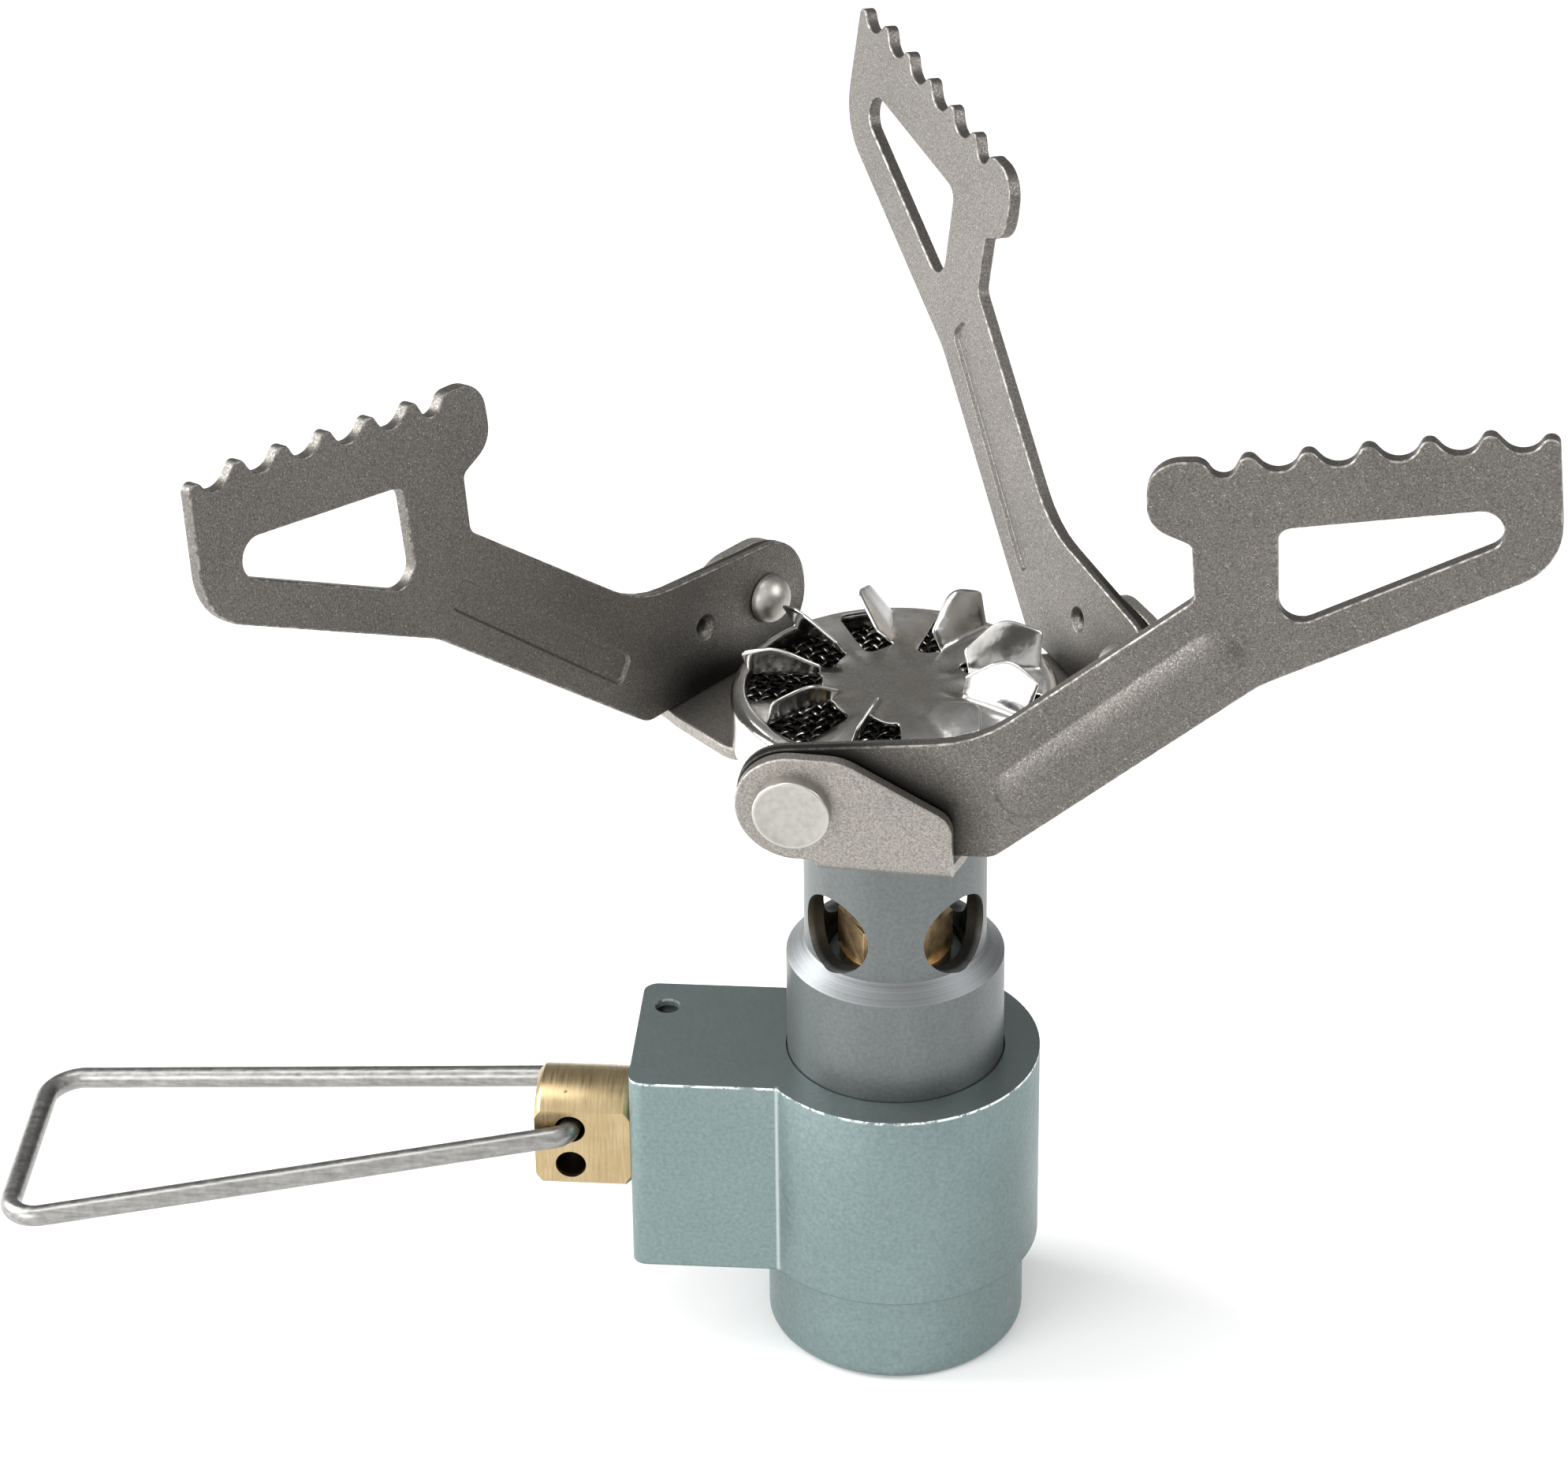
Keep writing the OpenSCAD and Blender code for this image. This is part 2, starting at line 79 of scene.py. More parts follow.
# places on the valve body, and the sheet of the bracket and the supports
BODY_TOP = 19.45
COLLAR_TOP = 6.3
BLOCK_MEETS_X = 6.72
SHEET = 0.8
ROLLED_EDGE = 0.13
PLATE_TOP = PLATE_BOTTOM + SHEET


# ---- camera, floor and light ----

VIEW_AZIMUTH = 3.6
VIEW_ELEVATION = 32.524
VIEW_DISTANCE = 332.91
VIEW_TARGET = Vector((0, 0, 28))
VIEW_YAW = 1.133
VIEW_PITCH = 1.958
SENSOR = 36
LENS = 129.2


def view_direction(azimuth, elevation):
    """Direction from the object to a camera or lamp, azimuth 0 being the front."""
    a, e = math.radians(azimuth), math.radians(elevation)
    return Vector((math.sin(a) * math.cos(e), -math.cos(a) * math.cos(e), math.sin(e)))


def make_camera():
    """Camera in front, turned a little so that the stove is right of and below the middle."""
    data = bpy.data.cameras.new("camera")
    data.sensor_width = SENSOR
    data.lens = LENS
    data.clip_start = 0.01
    data.clip_end = 20
    camera = bpy.data.objects.new("camera", data)
    bpy.context.scene.collection.objects.link(camera)
    direction = view_direction(VIEW_AZIMUTH, VIEW_ELEVATION)
    place = Matrix.Translation((VIEW_TARGET + VIEW_DISTANCE * direction) * MM)
    aim = direction.to_track_quat("Z", "Y").to_matrix().to_4x4()
    yaw = Matrix.Rotation(math.radians(VIEW_YAW), 4, "Y")
    pitch = Matrix.Rotation(math.radians(VIEW_PITCH), 4, "X")
    camera.matrix_world = place @ aim @ yaw @ pitch
    bpy.context.scene.camera = camera


def softbox(name, azimuth, elevation, distance, size, power, aim=(0, 0, 0.035)):
    """Square lamp, its distance measured from the point that it faces, in metres."""
    data = bpy.data.lights.new(name, "AREA")
    data.size = size
    data.energy = power
    lamp = bpy.data.objects.new(name, data)
    bpy.context.scene.collection.objects.link(lamp)
    direction = view_direction(azimuth, elevation)
    rotation = direction.to_track_quat("Z", "Y").to_matrix().to_4x4()
    lamp.matrix_world = Matrix.Translation(direction * distance + Vector(aim)) @ rotation


def map_range(tree, value, low, high, to_low, to_high):
    """Node that maps a value from low..high to to_low..to_high, held at both ends."""
    node = tree.nodes.new("ShaderNodeMapRange")
    tree.links.new(value, node.inputs["Value"])
    for socket, number in (("From Min", low), ("From Max", high), ("To Min", to_low), ("To Max", to_high)):
        node.inputs[socket].default_value = number
    return node


def make_world():
    """Grey studio, bright on the left and dim on the right and at the back."""
    world = bpy.data.worlds.new("studio")
    bpy.context.scene.world = world
    world.use_nodes = True
    tree = world.node_tree
    tree.nodes.clear()
    place = tree.nodes.new("ShaderNodeTexCoord")
    split = tree.nodes.new("ShaderNodeSeparateXYZ")
    tree.links.new(place.outputs["Generated"], split.inputs[0])
    side = map_range(tree, split.outputs["X"], 0.95, -0.95, 0, 1)
    ramp = tree.nodes.new("ShaderNodeValToRGB")
    for share, level in ((0.0, 0.1), (0.5, 0.38), (0.75, 0.85), (1.0, 1.3)):
        if share in (0.0, 1.0):
            stop = ramp.color_ramp.elements[int(share)]
        else:
            stop = ramp.color_ramp.elements.new(share)
        stop.color = (level, level, level, 1)
    tree.links.new(side.outputs["Result"], ramp.inputs["Fac"])
    back = map_range(tree, split.outputs["Y"], -0.6, 0.7, 1.3, 0.32)
    back.interpolation_type = "SMOOTHSTEP"
    background = tree.nodes.new("ShaderNodeBackground")
    tree.links.new(ramp.outputs["Color"], background.inputs["Color"])
    tree.links.new(back.outputs["Result"], background.inputs["Strength"])
    output = tree.nodes.new("ShaderNodeOutputWorld")
    tree.links.new(background.outputs[0], output.inputs["Surface"])


def make_floor():
    """Wide pale floor under the stove."""
    half = 4
    mesh = bpy.data.meshes.new("floor")
    corners = [(-half, -half, 0), (half, -half, 0), (half, half, 0), (-half, half, 0)]
    mesh.from_pydata(corners, [], [(0, 1, 2, 3)])
    floor = bpy.data.objects.new("floor", mesh)
    bpy.context.scene.collection.objects.link(floor)
    look = Look("floor_paper", (0.9, 0.9, 0.9), roughness=0.8)
    look.tint(look.noise(0.02, detail=3), (0.98, 0.98, 0.98), (1.02, 1.02, 1.02))
    floor.data.materials.append(look.material)


# ---- materials ----

class Look:
    """One procedural material. Its textures are laid out in millimetres of the piece's own frame.

    Masks and factors are sockets or plain numbers, and colours are sockets or (red, green, blue).
    """

    def __init__(self, name, colour, metallic=0.0, roughness=0.5):
        self.material = bpy.data.materials.new(name)
        self.material.use_nodes = True
        self.tree = self.material.node_tree
        self.shader = self.tree.nodes["Principled BSDF"]
        self.shader.inputs["Metallic"].default_value = metallic
        self.place = self.tree.nodes.new("ShaderNodeTexCoord").outputs["Object"]
        self.colour = colour
        self.rough = roughness
        self.update_shader()

    def update_shader(self):
        self.feed(self.shader.inputs["Base Color"], self.colour)
        self.feed(self.shader.inputs["Roughness"], self.rough)

    def feed(self, socket, value):
        """Links a socket, or sets a plain number or colour."""
        if isinstance(value, bpy.types.NodeSocket):
            self.tree.links.new(value, socket)
        elif isinstance(value, tuple):
            socket.default_value = (*value, 1)
        else:
            socket.default_value = value

    def math(self, operation, a, b=0.0):
        node = self.tree.nodes.new("ShaderNodeMath")
        node.operation = operation
        self.feed(node.inputs[0], a)
        self.feed(node.inputs[1], b)
        return node.outputs[0]

    def product(self, first, *others):
        """All values multiplied."""
        for other in others:
            first = self.math("MULTIPLY", first, other)
        return first

    def distance(self, a, b):
        """Length of a step of a one way and b across it."""
        return self.math("SQRT", self.math("ADD", self.math("POWER", a, 2.0), self.math("POWER", b, 2.0)))

    def scaled(self, scale):
        """Texture place with one scale per axis, in features per millimetre."""
        node = self.tree.nodes.new("ShaderNodeMapping")
        node.inputs["Scale"].default_value = tuple(s / MM for s in scale)
        self.tree.links.new(self.place, node.inputs["Vector"])
        return node.outputs[0]

    def noise(self, scale, detail=2.0, roughness=0.5, stretch=(1, 1, 1)):
        """Soft noise around 0.5, finer along an axis with a larger stretch."""
        node = self.tree.nodes.new("ShaderNodeTexNoise")
        node.inputs["Scale"].default_value = 1
        node.inputs["Detail"].default_value = detail
        node.inputs["Roughness"].default_value = roughness
        self.tree.links.new(self.scaled([scale * s for s in stretch]), node.inputs["Vector"])
        return node.outputs[0]

    def cells(self, scale):
        """Distance from the middle of the cell that a point lies in."""
        node = self.tree.nodes.new("ShaderNodeTexVoronoi")
        node.inputs["Scale"].default_value = 1
        self.tree.links.new(self.scaled([scale] * 3), node.inputs["Vector"])
        return node.outputs["Distance"]

    def spread(self, value, low, high, to_low=0.0, to_high=1.0):
        """Value mapped from low..high to to_low..to_high, held at both ends."""
        return map_range(self.tree, value, low, high, to_low, to_high).outputs["Result"]

    def split(self, vector):
        """The three parts of a vector."""
        node = self.tree.nodes.new("ShaderNodeSeparateXYZ")
        self.tree.links.new(vector, node.inputs[0])
        return node.outputs

    def axes(self):
        """The three coordinates of the place, in metres."""
        return self.split(self.place)

    def normal_axes(self):
        """The three parts of the surface's normal."""
        return self.split(self.tree.nodes.new("ShaderNodeNewGeometry").outputs["Normal"])

    def attribute(self, name, output="Fac"):
        """A value that each vertex carries."""
        node = self.tree.nodes.new("ShaderNodeAttribute")
        node.attribute_name = name
        return node.outputs[output]

    def mix(self, factor, a, b, mode="MIX"):
        node = self.tree.nodes.new("ShaderNodeMix")
        node.data_type = "RGBA"
        node.blend_type = mode
        for socket, value in zip(node.inputs[:1] + node.inputs[6:8], (factor, a, b)):
            self.feed(socket, value)
        return node.outputs[2]

    def tint(self, factor, low, high):
        """Multiplies the colour by low to high as factor goes from 0.3 to 0.7."""
        shade = self.mix(self.spread(factor, 0.3, 0.7), low, high)
        self.colour = self.mix(1.0, self.colour, shade, "MULTIPLY")
        self.update_shader()

    def paint(self, mask, colour, roughness=None):
        """Lays another colour, and another roughness, where mask is 1."""
        self.colour = self.mix(mask, self.colour, colour)
        if roughness is not None:
            node = self.tree.nodes.new("ShaderNodeMix")
            for socket, value in zip(node.inputs[:1] + node.inputs[2:4], (mask, self.rough, roughness)):
                self.feed(socket, value)
            self.rough = node.outputs[0]
        self.update_shader()

    def vary_roughness(self, factor, low, high):
        """Roughness from low to high as factor goes from 0.3 to 0.7."""
        self.rough = self.spread(factor, 0.3, 0.7, low, high)
        self.update_shader()

    def bump(self, height, depth):
        """Raises the surface by up to depth millimetres where height is 1."""
        node = self.tree.nodes.new("ShaderNodeBump")
        node.inputs["Strength"].default_value = 1
        node.inputs["Distance"].default_value = depth * MM
        self.feed(node.inputs["Height"], height)
        old = self.shader.inputs["Normal"]
        if old.is_linked:
            self.tree.links.new(old.links[0].from_socket, node.inputs["Normal"])
        self.tree.links.new(node.outputs[0], old)


def blasted_titanium(name, level, painted_shade=False):
    """Warm grey bead-blasted sheet, with a fine sparkle and edges polished by tumbling.

    A sheet with painted shade is darker on its outer face along the ear, where the ear shades it,
    and on its inner face low down beside the rivet, where the bracket shades it.
    """
    look = Look(name, (level, level * 0.945, level * 0.865), metallic=0.95, roughness=0.46)
    look.tint(look.noise(0.12, detail=3), (0.92, 0.92, 0.93), (1.08, 1.07, 1.06))
    grain = look.noise(8.5, detail=2)
    look.tint(grain, (0.68, 0.68, 0.68), (1.34, 1.34, 1.34))
    look.vary_roughness(grain, 0.52, 0.42)
    sparkle = look.spread(look.noise(13, detail=0), 0.7, 0.8)
    look.paint(sparkle, (0.36, 0.34, 0.315), 0.34)
    edge = look.product(look.attribute("edge"), look.spread(look.noise(2.2, detail=3), 0.45, 0.6, 0.0, 0.7))
    look.paint(edge, (0.4, 0.38, 0.35), 0.32)
    if painted_shade:
        # painted shade: darker outer face along the ear, and darker inner face low down beside the rivet
        along, up, depth = look.split(look.attribute("blank", "Vector"))
        outer_face, inner_face = look.spread(depth, 0.3, 0.4), look.spread(depth, 0.3, 0.2)
        past_ear = look.math("ADD", look.math("MULTIPLY", along, 0.489), look.math("MULTIPLY", up, 0.873))
        beside = look.product(look.spread(past_ear, 7.2, 4.4), look.spread(along, 11.5, 8.6), outer_face)
        below = look.product(look.spread(up, -0.4, -2.6), look.spread(along, 10, 7), inner_face)
        look.paint(look.product(look.math("ADD", beside, below), 0.88), (0.018, 0.017, 0.016))
    look.bump(grain, 0.014)
    look.bump(look.noise(0.9, detail=3), 0.012)
    return look.material


def body_anodise():
    """Grey-green anodised aluminium, blasted, worn through to bright metal along its edges, with painted shade on
    its top faces and under the collar's step.
    """
    look = Look("body_anodise", (0.175, 0.232, 0.228), metallic=0.75, roughness=0.42)
    look.tint(look.noise(0.1, detail=3), (0.93, 0.94, 0.94), (1.06, 1.06, 1.06))
    grain = look.noise(4.2, detail=2)
    look.tint(grain, (0.88, 0.88, 0.88), (1.12, 1.12, 1.12))
    look.vary_roughness(look.noise(0.8, detail=3), 0.4, 0.46)
    look.bump(look.spread(look.cells(2.4), 0.05, 0.75), 0.012)
    look.bump(grain, 0.008)
    place = look.axes()
    # painted shade: faces turned straight up are painted darker, as less light falls on them
    shaded_top = look.spread(look.normal_axes()[2], 0.9, 0.98)
    look.paint(look.product(shaded_top, 0.85), (0.158, 0.19, 0.187))
    # worn line along the top edge, and a lighter line where the block runs into the round part
    high = look.spread(place[2], (BODY_TOP - 0.2) * MM, (BODY_TOP - 0.12) * MM)
    turned_up = look.spread(look.normal_axes()[2], 0.98, 0.9)
    chips = look.spread(look.noise(2.2, detail=4, roughness=0.7), 0.44, 0.52)
    look.paint(look.product(high, turned_up, chips), (0.8, 0.82, 0.82), 0.3)
    # painted shade: a dark band just under the step at the top of the collar
    under = look.product(look.spread(place[2], (COLLAR_TOP - 0.7) * MM, (COLLAR_TOP - 0.15) * MM),
                         look.spread(place[2], (COLLAR_TOP + 0.1) * MM, COLLAR_TOP * MM), 0.55)
    look.paint(under, (0.05, 0.066, 0.065))
    seam = look.math("ABSOLUTE", look.math("SUBTRACT", place[0], -BLOCK_MEETS_X * MM))
    front = look.spread(place[1], -5.2 * MM, -5.35 * MM)
    look.paint(look.product(look.spread(seam, 0.16 * MM, 0.04 * MM), front, 0.6), (0.6, 0.64, 0.64), 0.35)
    return look.material


def tube_anodise():
    """Turned and anodised grey aluminium. The chamfer between its two diameters is freshly turned. Its bore is
    painted near black as shade.
    """
    look = Look("tube_anodise", (0.135, 0.147, 0.146), metallic=0.8, roughness=0.4)
    look.tint(look.noise(4.5, detail=2), (0.9, 0.9, 0.9), (1.1, 1.1, 1.1))
    look.tint(look.noise(0.5, detail=2, stretch=(1, 1, 0.12)), (0.95, 0.95, 0.95), (1.05, 1.05, 1.05))
    rings = look.noise(1, detail=3, stretch=(0.02, 0.02, 9))
    look.bump(rings, 0.004)
    look.bump(look.noise(5, detail=2), 0.005)
    slope = look.spread(look.normal_axes()[2], 0.25, 0.5)
    look.paint(look.product(slope, look.spread(rings, 0.35, 0.6, 0.35, 1.0)), (0.225, 0.233, 0.24), 0.5)
    # painted shade: inside radius 5.25 mm the bore is painted near black
    radius = look.distance(*look.axes()[:2])
    look.paint(look.spread(radius, 5.25 * MM, 4.9 * MM), (0.035, 0.037, 0.038))
    return look.material


def turned_brass():
    """Brass with turning marks on its round faces and filing marks across its flats."""
    look = Look("turned_brass", (0.42, 0.325, 0.19), metallic=1.0, roughness=0.32)
    streaks = look.noise(1, detail=4, roughness=0.6, stretch=(7, 0.4, 0.4))
    look.tint(streaks, (0.84, 0.82, 0.76), (1.14, 1.16, 1.18))
    look.vary_roughness(streaks, 0.24, 0.4)
    look.tint(look.noise(0.5, detail=3), (0.88, 0.86, 0.8), (1.08, 1.08, 1.1))
    look.bump(streaks, 0.006)
    spots = look.spread(look.noise(1.1, detail=1), 0.72, 0.76)
    look.paint(spots, (0.2, 0.13, 0.06), 0.5)
    # painted darker inside the two cross holes
    pivot, _ = joint_of("handle_fold")
    valve, _ = joint_of("valve_turn")
    place = look.axes()
    height = look.math("ABSOLUTE", look.math("SUBTRACT", place[2], valve.z * MM))
    off = look.math("SUBTRACT", height, (pivot.z - valve.z) * MM)
    side = look.math("SUBTRACT", place[0], pivot.x * MM)
    deep = look.spread(look.math("ABSOLUTE", place[1]), 2.55 * MM, 2.2 * MM)
    bore = look.spread(look.distance(off, side), 1.1 * MM, 0.96 * MM)
    look.paint(look.product(bore, deep), (0.04, 0.025, 0.012), 0.5)
    return look.material


def jet_brass():
    """Turned brass, darkened a little by heat."""
    look = Look("jet_brass", (0.85, 0.64, 0.38), metallic=0.9, roughness=0.4)
    look.tint(look.noise(1.5, detail=3), (0.6, 0.56, 0.5), (1.15, 1.12, 1.05))
    look.bump(look.noise(3, detail=2), 0.006)
    return look.material


def satin_wire():
    """Drawn stainless wire, satin, with fine marks along it."""
    look = Look("satin_wire", (0.28, 0.276, 0.265), metallic=1.0, roughness=0.34)
    marks = look.noise(1, detail=3, stretch=(0.35, 5, 5))
    look.tint(marks, (0.75, 0.75, 0.75), (1.15, 1.15, 1.15))
    mottle = look.noise(2.2, detail=3, roughness=0.6)
    look.tint(mottle, (0.82, 0.82, 0.82), (1.12, 1.12, 1.12))
    look.vary_roughness(mottle, 0.28, 0.42)
    look.bump(mottle, 0.01)
    return look.material


def polished_head():
    """Polished stainless sheet: satin in the middle of the cap, with a painted dark reflection there,
    mirror-bright outward.
    """
    look = Look("polished_head", (0.62, 0.615, 0.6), metallic=1.0, roughness=0.17)
    radius = look.distance(*look.axes()[:2])
    flat = look.spread(look.normal_axes()[2], 0.75, 0.97)
    # the middle's satin roughness is the real finish; its darker grey is a painted reflection of the dim back of
    # the studio
    middle = look.product(look.spread(radius, 7.4 * MM, 4.4 * MM), flat)
    fine = look.noise(5, detail=2)
    look.paint(look.product(middle, look.spread(fine, 0.3, 0.7, 0.75, 1.0)), (0.24, 0.233, 0.22), 0.38)
    smoke = look.spread(look.noise(0.45, detail=4, roughness=0.6), 0.42, 0.66)
    look.paint(look.product(smoke, 0.5), (0.33, 0.3, 0.26), 0.2)
    look.bump(look.noise(0.7, detail=2), 0.04)
    look.bump(fine, 0.002)
    return look.material


def dark_gauze():
    """Heat-blackened woven wire, with painted glints: some of its crowns are painted bright."""
    look = Look("dark_gauze", (0.035, 0.034, 0.032), metallic=1.0, roughness=0.15)
    look.tint(look.noise(0.5, detail=1), (0.7, 0.7, 0.7), (1.3, 1.3, 1.3))
    # painted highlight: bright glints painted on the upper crowns of the wires
    crown = look.spread(look.axes()[2], (GAUZE_MIDDLE + 0.1) * MM, (GAUZE_MIDDLE + 0.16) * MM)
    painted_glints = look.spread(look.noise(0.8, detail=1), 0.42, 0.6, 0.15, 1.0)
    look.paint(look.product(crown, painted_glints), (0.8, 0.78, 0.75), 0.2)
    return look.material


def plain_steel(name, level):
    """Steel of the small inner pieces, bright, or near black as painted shade."""
    look = Look(name, (level, level * 0.99, level * 0.96), metallic=1.0, roughness=0.3)
    look.tint(look.noise(2.5, detail=3), (0.85, 0.85, 0.85), (1.1, 1.1, 1.1))
    look.bump(look.noise(6, detail=2), 0.004)
    return look.material


def rivet_steel():
    """Pale, softly mottled metal of the rivets, with bright rims."""
    look = Look("rivet_steel", (0.4, 0.385, 0.355), metallic=0.95, roughness=0.38)
    look.tint(look.noise(2.2, detail=3), (0.86, 0.87, 0.86), (1.08, 1.08, 1.08))
    look.paint(look.product(look.attribute("edge"), 0.6), (0.5, 0.49, 0.46), 0.25)
    look.bump(look.noise(5, detail=2), 0.008)
    return look.material


def black_rubber():
    """Black seal rubber."""
    look = Look("black_rubber", (0.022, 0.022, 0.022), roughness=0.6)
    look.tint(look.noise(2, detail=3), (0.7, 0.7, 0.7), (1.4, 1.4, 1.4))
    look.bump(look.noise(8, detail=2), 0.01)
    return look.material


def porous_bronze():
    """Sintered bronze of the gas filter."""
    look = Look("porous_bronze", (0.4, 0.28, 0.14), metallic=0.9, roughness=0.6)
    beads = look.cells(7)
    look.tint(beads, (1.2, 1.2, 1.2), (0.5, 0.5, 0.5))
    look.bump(beads, 0.04)
    return look.material


# ---- outlines ----

def corner_arc(p, q, s, radius, step):
    """Points that round the corner q between p and s."""
    a, b = (p - q).normalized(), (s - q).normalized()
    half = math.acos(max(-1, min(1, a.dot(b)))) / 2
    centre = q + (a + b).normalized() * (radius / math.sin(half))
    start = q + a * (radius / math.tan(half)) - centre
    turn = start.angle_signed(q + b * (radius / math.tan(half)) - centre)
    steps = max(1, math.ceil(abs(math.degrees(turn)) / step))
    return [centre + Matrix.Rotation(-turn * i / steps, 2) @ start for i in range(steps + 1)]


def rounded(corners, step, closed=True):
    """Outline whose corners are given as (x, y, radius), each turned in steps of a number of degrees."""
    points = []
    for i, (x, y, radius) in enumerate(corners):
        end = not closed and i in (0, len(corners) - 1)
        if radius == 0 or end:
            points.append(Vector((x, y)))
            continue
        before, after = corners[i - 1], corners[(i + 1) % len(corners)]
        points += corner_arc(Vector(before[:2]), Vector((x, y)), Vector(after[:2]), radius, step)
    return points


def circle(centre, radius, count):
    """Points of a circle, counter-clockwise."""
    return [Vector(centre) + radius * Vector((math.cos(a), math.sin(a)))
            for a in (math.tau * i / count for i in range(count))]


def area(loop):
    """Area inside a loop, below zero if it runs clockwise."""
    return sum(p.cross(q) for p, q in zip(loop, loop[1:] + loop[:1])) / 2


def turned(loop, left):
    """The loop, counter-clockwise if left is true and otherwise clockwise."""
    return loop if (area(loop) > 0) == left else loop[::-1]


def inset(loop, distance):
    """The loop moved to its left by a distance."""
    points = []
    for i, q in enumerate(loop):
        before, after = (q - loop[i - 1]).normalized(), (loop[(i + 1) % len(loop)] - q).normalized()
        a, b = Vector((-before.y, before.x)), Vector((-after.y, after.x))
        points.append(q + (a + b) * (distance / max(0.3, 1 + a.dot(b))))
    return points


def left_of(loop):
    """Direction to the left of a loop at each of its points, as a vector with no height."""
    return [(q - p).normalized().to_3d() for p, q in zip(loop, inset(loop, 0.01))]


def inside(point, loop):
    """Whether a point is inside a loop, by counting crossings."""
    crossings = 0
    for p, q in zip(loop, loop[1:] + loop[:1]):
        if (p.y > point.y) != (q.y > point.y):
            crossings += point.x < p.x + (point.y - p.y) / (q.y - p.y) * (q.x - p.x)
    return crossings % 2 == 1


# ---- meshes ----

class Builder:
    """Gathers the vertices and faces of one piece, in millimetres.

    Each vertex also has its wear, from 0 to 1 at an edge, and may have its own normal.
    Its first place is kept too.
    """

    def __init__(self):
        self.points = []
        self.edge = []
        self.normals = []
        self.faces = []
        self.blank = None

    def add(self, point, edge=0.0, normal=(0, 0, 0)):
        self.points.append(Vector(point))
        self.edge.append(edge)
        self.normals.append(Vector(normal))
        return len(self.points) - 1

    def strip(self, a, b):
        """Quads between two closed rows of as many vertices."""
        for i in range(len(a)):
            j = (i + 1) % len(a)
            self.faces.append((a[i], a[j], b[j], b[i]))

    def rings(self, rows):
        """Strips between each row and the next."""
        for a, b in zip(rows, rows[1:]):
            self.strip(a, b)

    def merge(self, other):
        """Takes in the vertices and faces of another builder."""
        start = len(self.points)
        self.points += other.points
        self.edge += other.edge
        self.normals += other.normals
        self.faces += [tuple(start + v for v in face) for face in other.faces]

    def warped(self, warp):
        """Moves every vertex with a warp, and turns its normal along."""
        step = 0.01
        self.blank = self.points
        self.points = [warp(p) for p in self.blank]
        self.normals = [(warp(p + n * step) - q).normalized() if n.length else n
                        for p, q, n in zip(self.blank, self.points, self.normals)]
        return self

    def placed(self, matrix):
        return self.warped(lambda point: matrix @ point)

    def make(self, name, material, slot, body, replaces=()):
        """Makes the object, gives it its finish and lets it ride on its body."""
        mesh = bpy.data.meshes.new(name)
        mesh.from_pydata([p * MM for p in self.points], [], self.faces)
        mesh.attributes.new("edge", "FLOAT", "POINT").data.foreach_set("value", self.edge)
        if self.blank:
            flat = mesh.attributes.new("blank", "FLOAT_VECTOR", "POINT")
            flat.data.foreach_set("vector", [c for p in self.blank for c in p])
        mesh.polygons.foreach_set("use_smooth", [True] * len(mesh.polygons))
        mesh.materials.append(material)
        if any(n.length for n in self.normals):
            mesh.normals_split_custom_set_from_vertices(self.normals)
        piece = bpy.data.objects.new(name, mesh)
        bpy.context.scene.collection.objects.link(piece)
        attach(piece, body)
        if replaces:
            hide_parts(*replaces)
        return piece


def even_normals(piece, keep_angle):
    """Lets large faces stay flat and bevels shade smoothly, with edges sharper than an angle kept."""
    piece.data.set_sharp_from_angle(angle=math.radians(keep_angle))
    modifier = piece.modifiers.new("even_normals", "WEIGHTED_NORMAL")
    modifier.keep_sharp = True
    modifier.weight = 100
    return piece


def face_of_sheet(builder, borders, border_rows, height, features, creases, up):
    """Fills one face of a sheet between its border rows.

    Features are (loop, lift, slope), the slope in degrees.
    """
    points, indices, edges = [], [], []
    facing = UP if up else -UP

    def add_loop(loop, vertices):
        start = len(points)
        points.extend(loop)
        indices.extend(vertices)
        edges.extend((start + i, start + (i + 1) % len(loop)) for i in range(len(loop)))

    def nearest(end):
        return min(range(len(points)), key=lambda i: (points[i] - end).length)

    for border, row in zip(borders, border_rows):
        add_loop(border, row)
    for p, q in creases:
        edges.append((nearest(p), nearest(q)))
    for loop, lift, slope in features:
        tilt = math.radians(slope)
        normals = [facing * math.cos(tilt) - n * math.sin(tilt) for n in left_of(loop)]
        add_loop(loop, [builder.add((p.x, p.y, height + lift), 0.0, n) for p, n in zip(loop, normals)])
    found, _, faces, originals, _, _ = geometry.delaunay_2d_cdt(points, edges, [], 0, 1e-6)
    vertex = []
    for place, source in zip(found, originals):
        here = (place.x, place.y, height)
        vertex.append(indices[source[0]] if source else builder.add(here, 0.0, facing))
    for face in faces:
        middle = sum((found[v] for v in face), Vector((0, 0))) / len(face)
        if inside(middle, borders[0]) and not any(inside(middle, hole) for hole in borders[1:]):
            corners = [vertex[v] for v in face]
            builder.faces.append(tuple(corners if up else reversed(corners)))


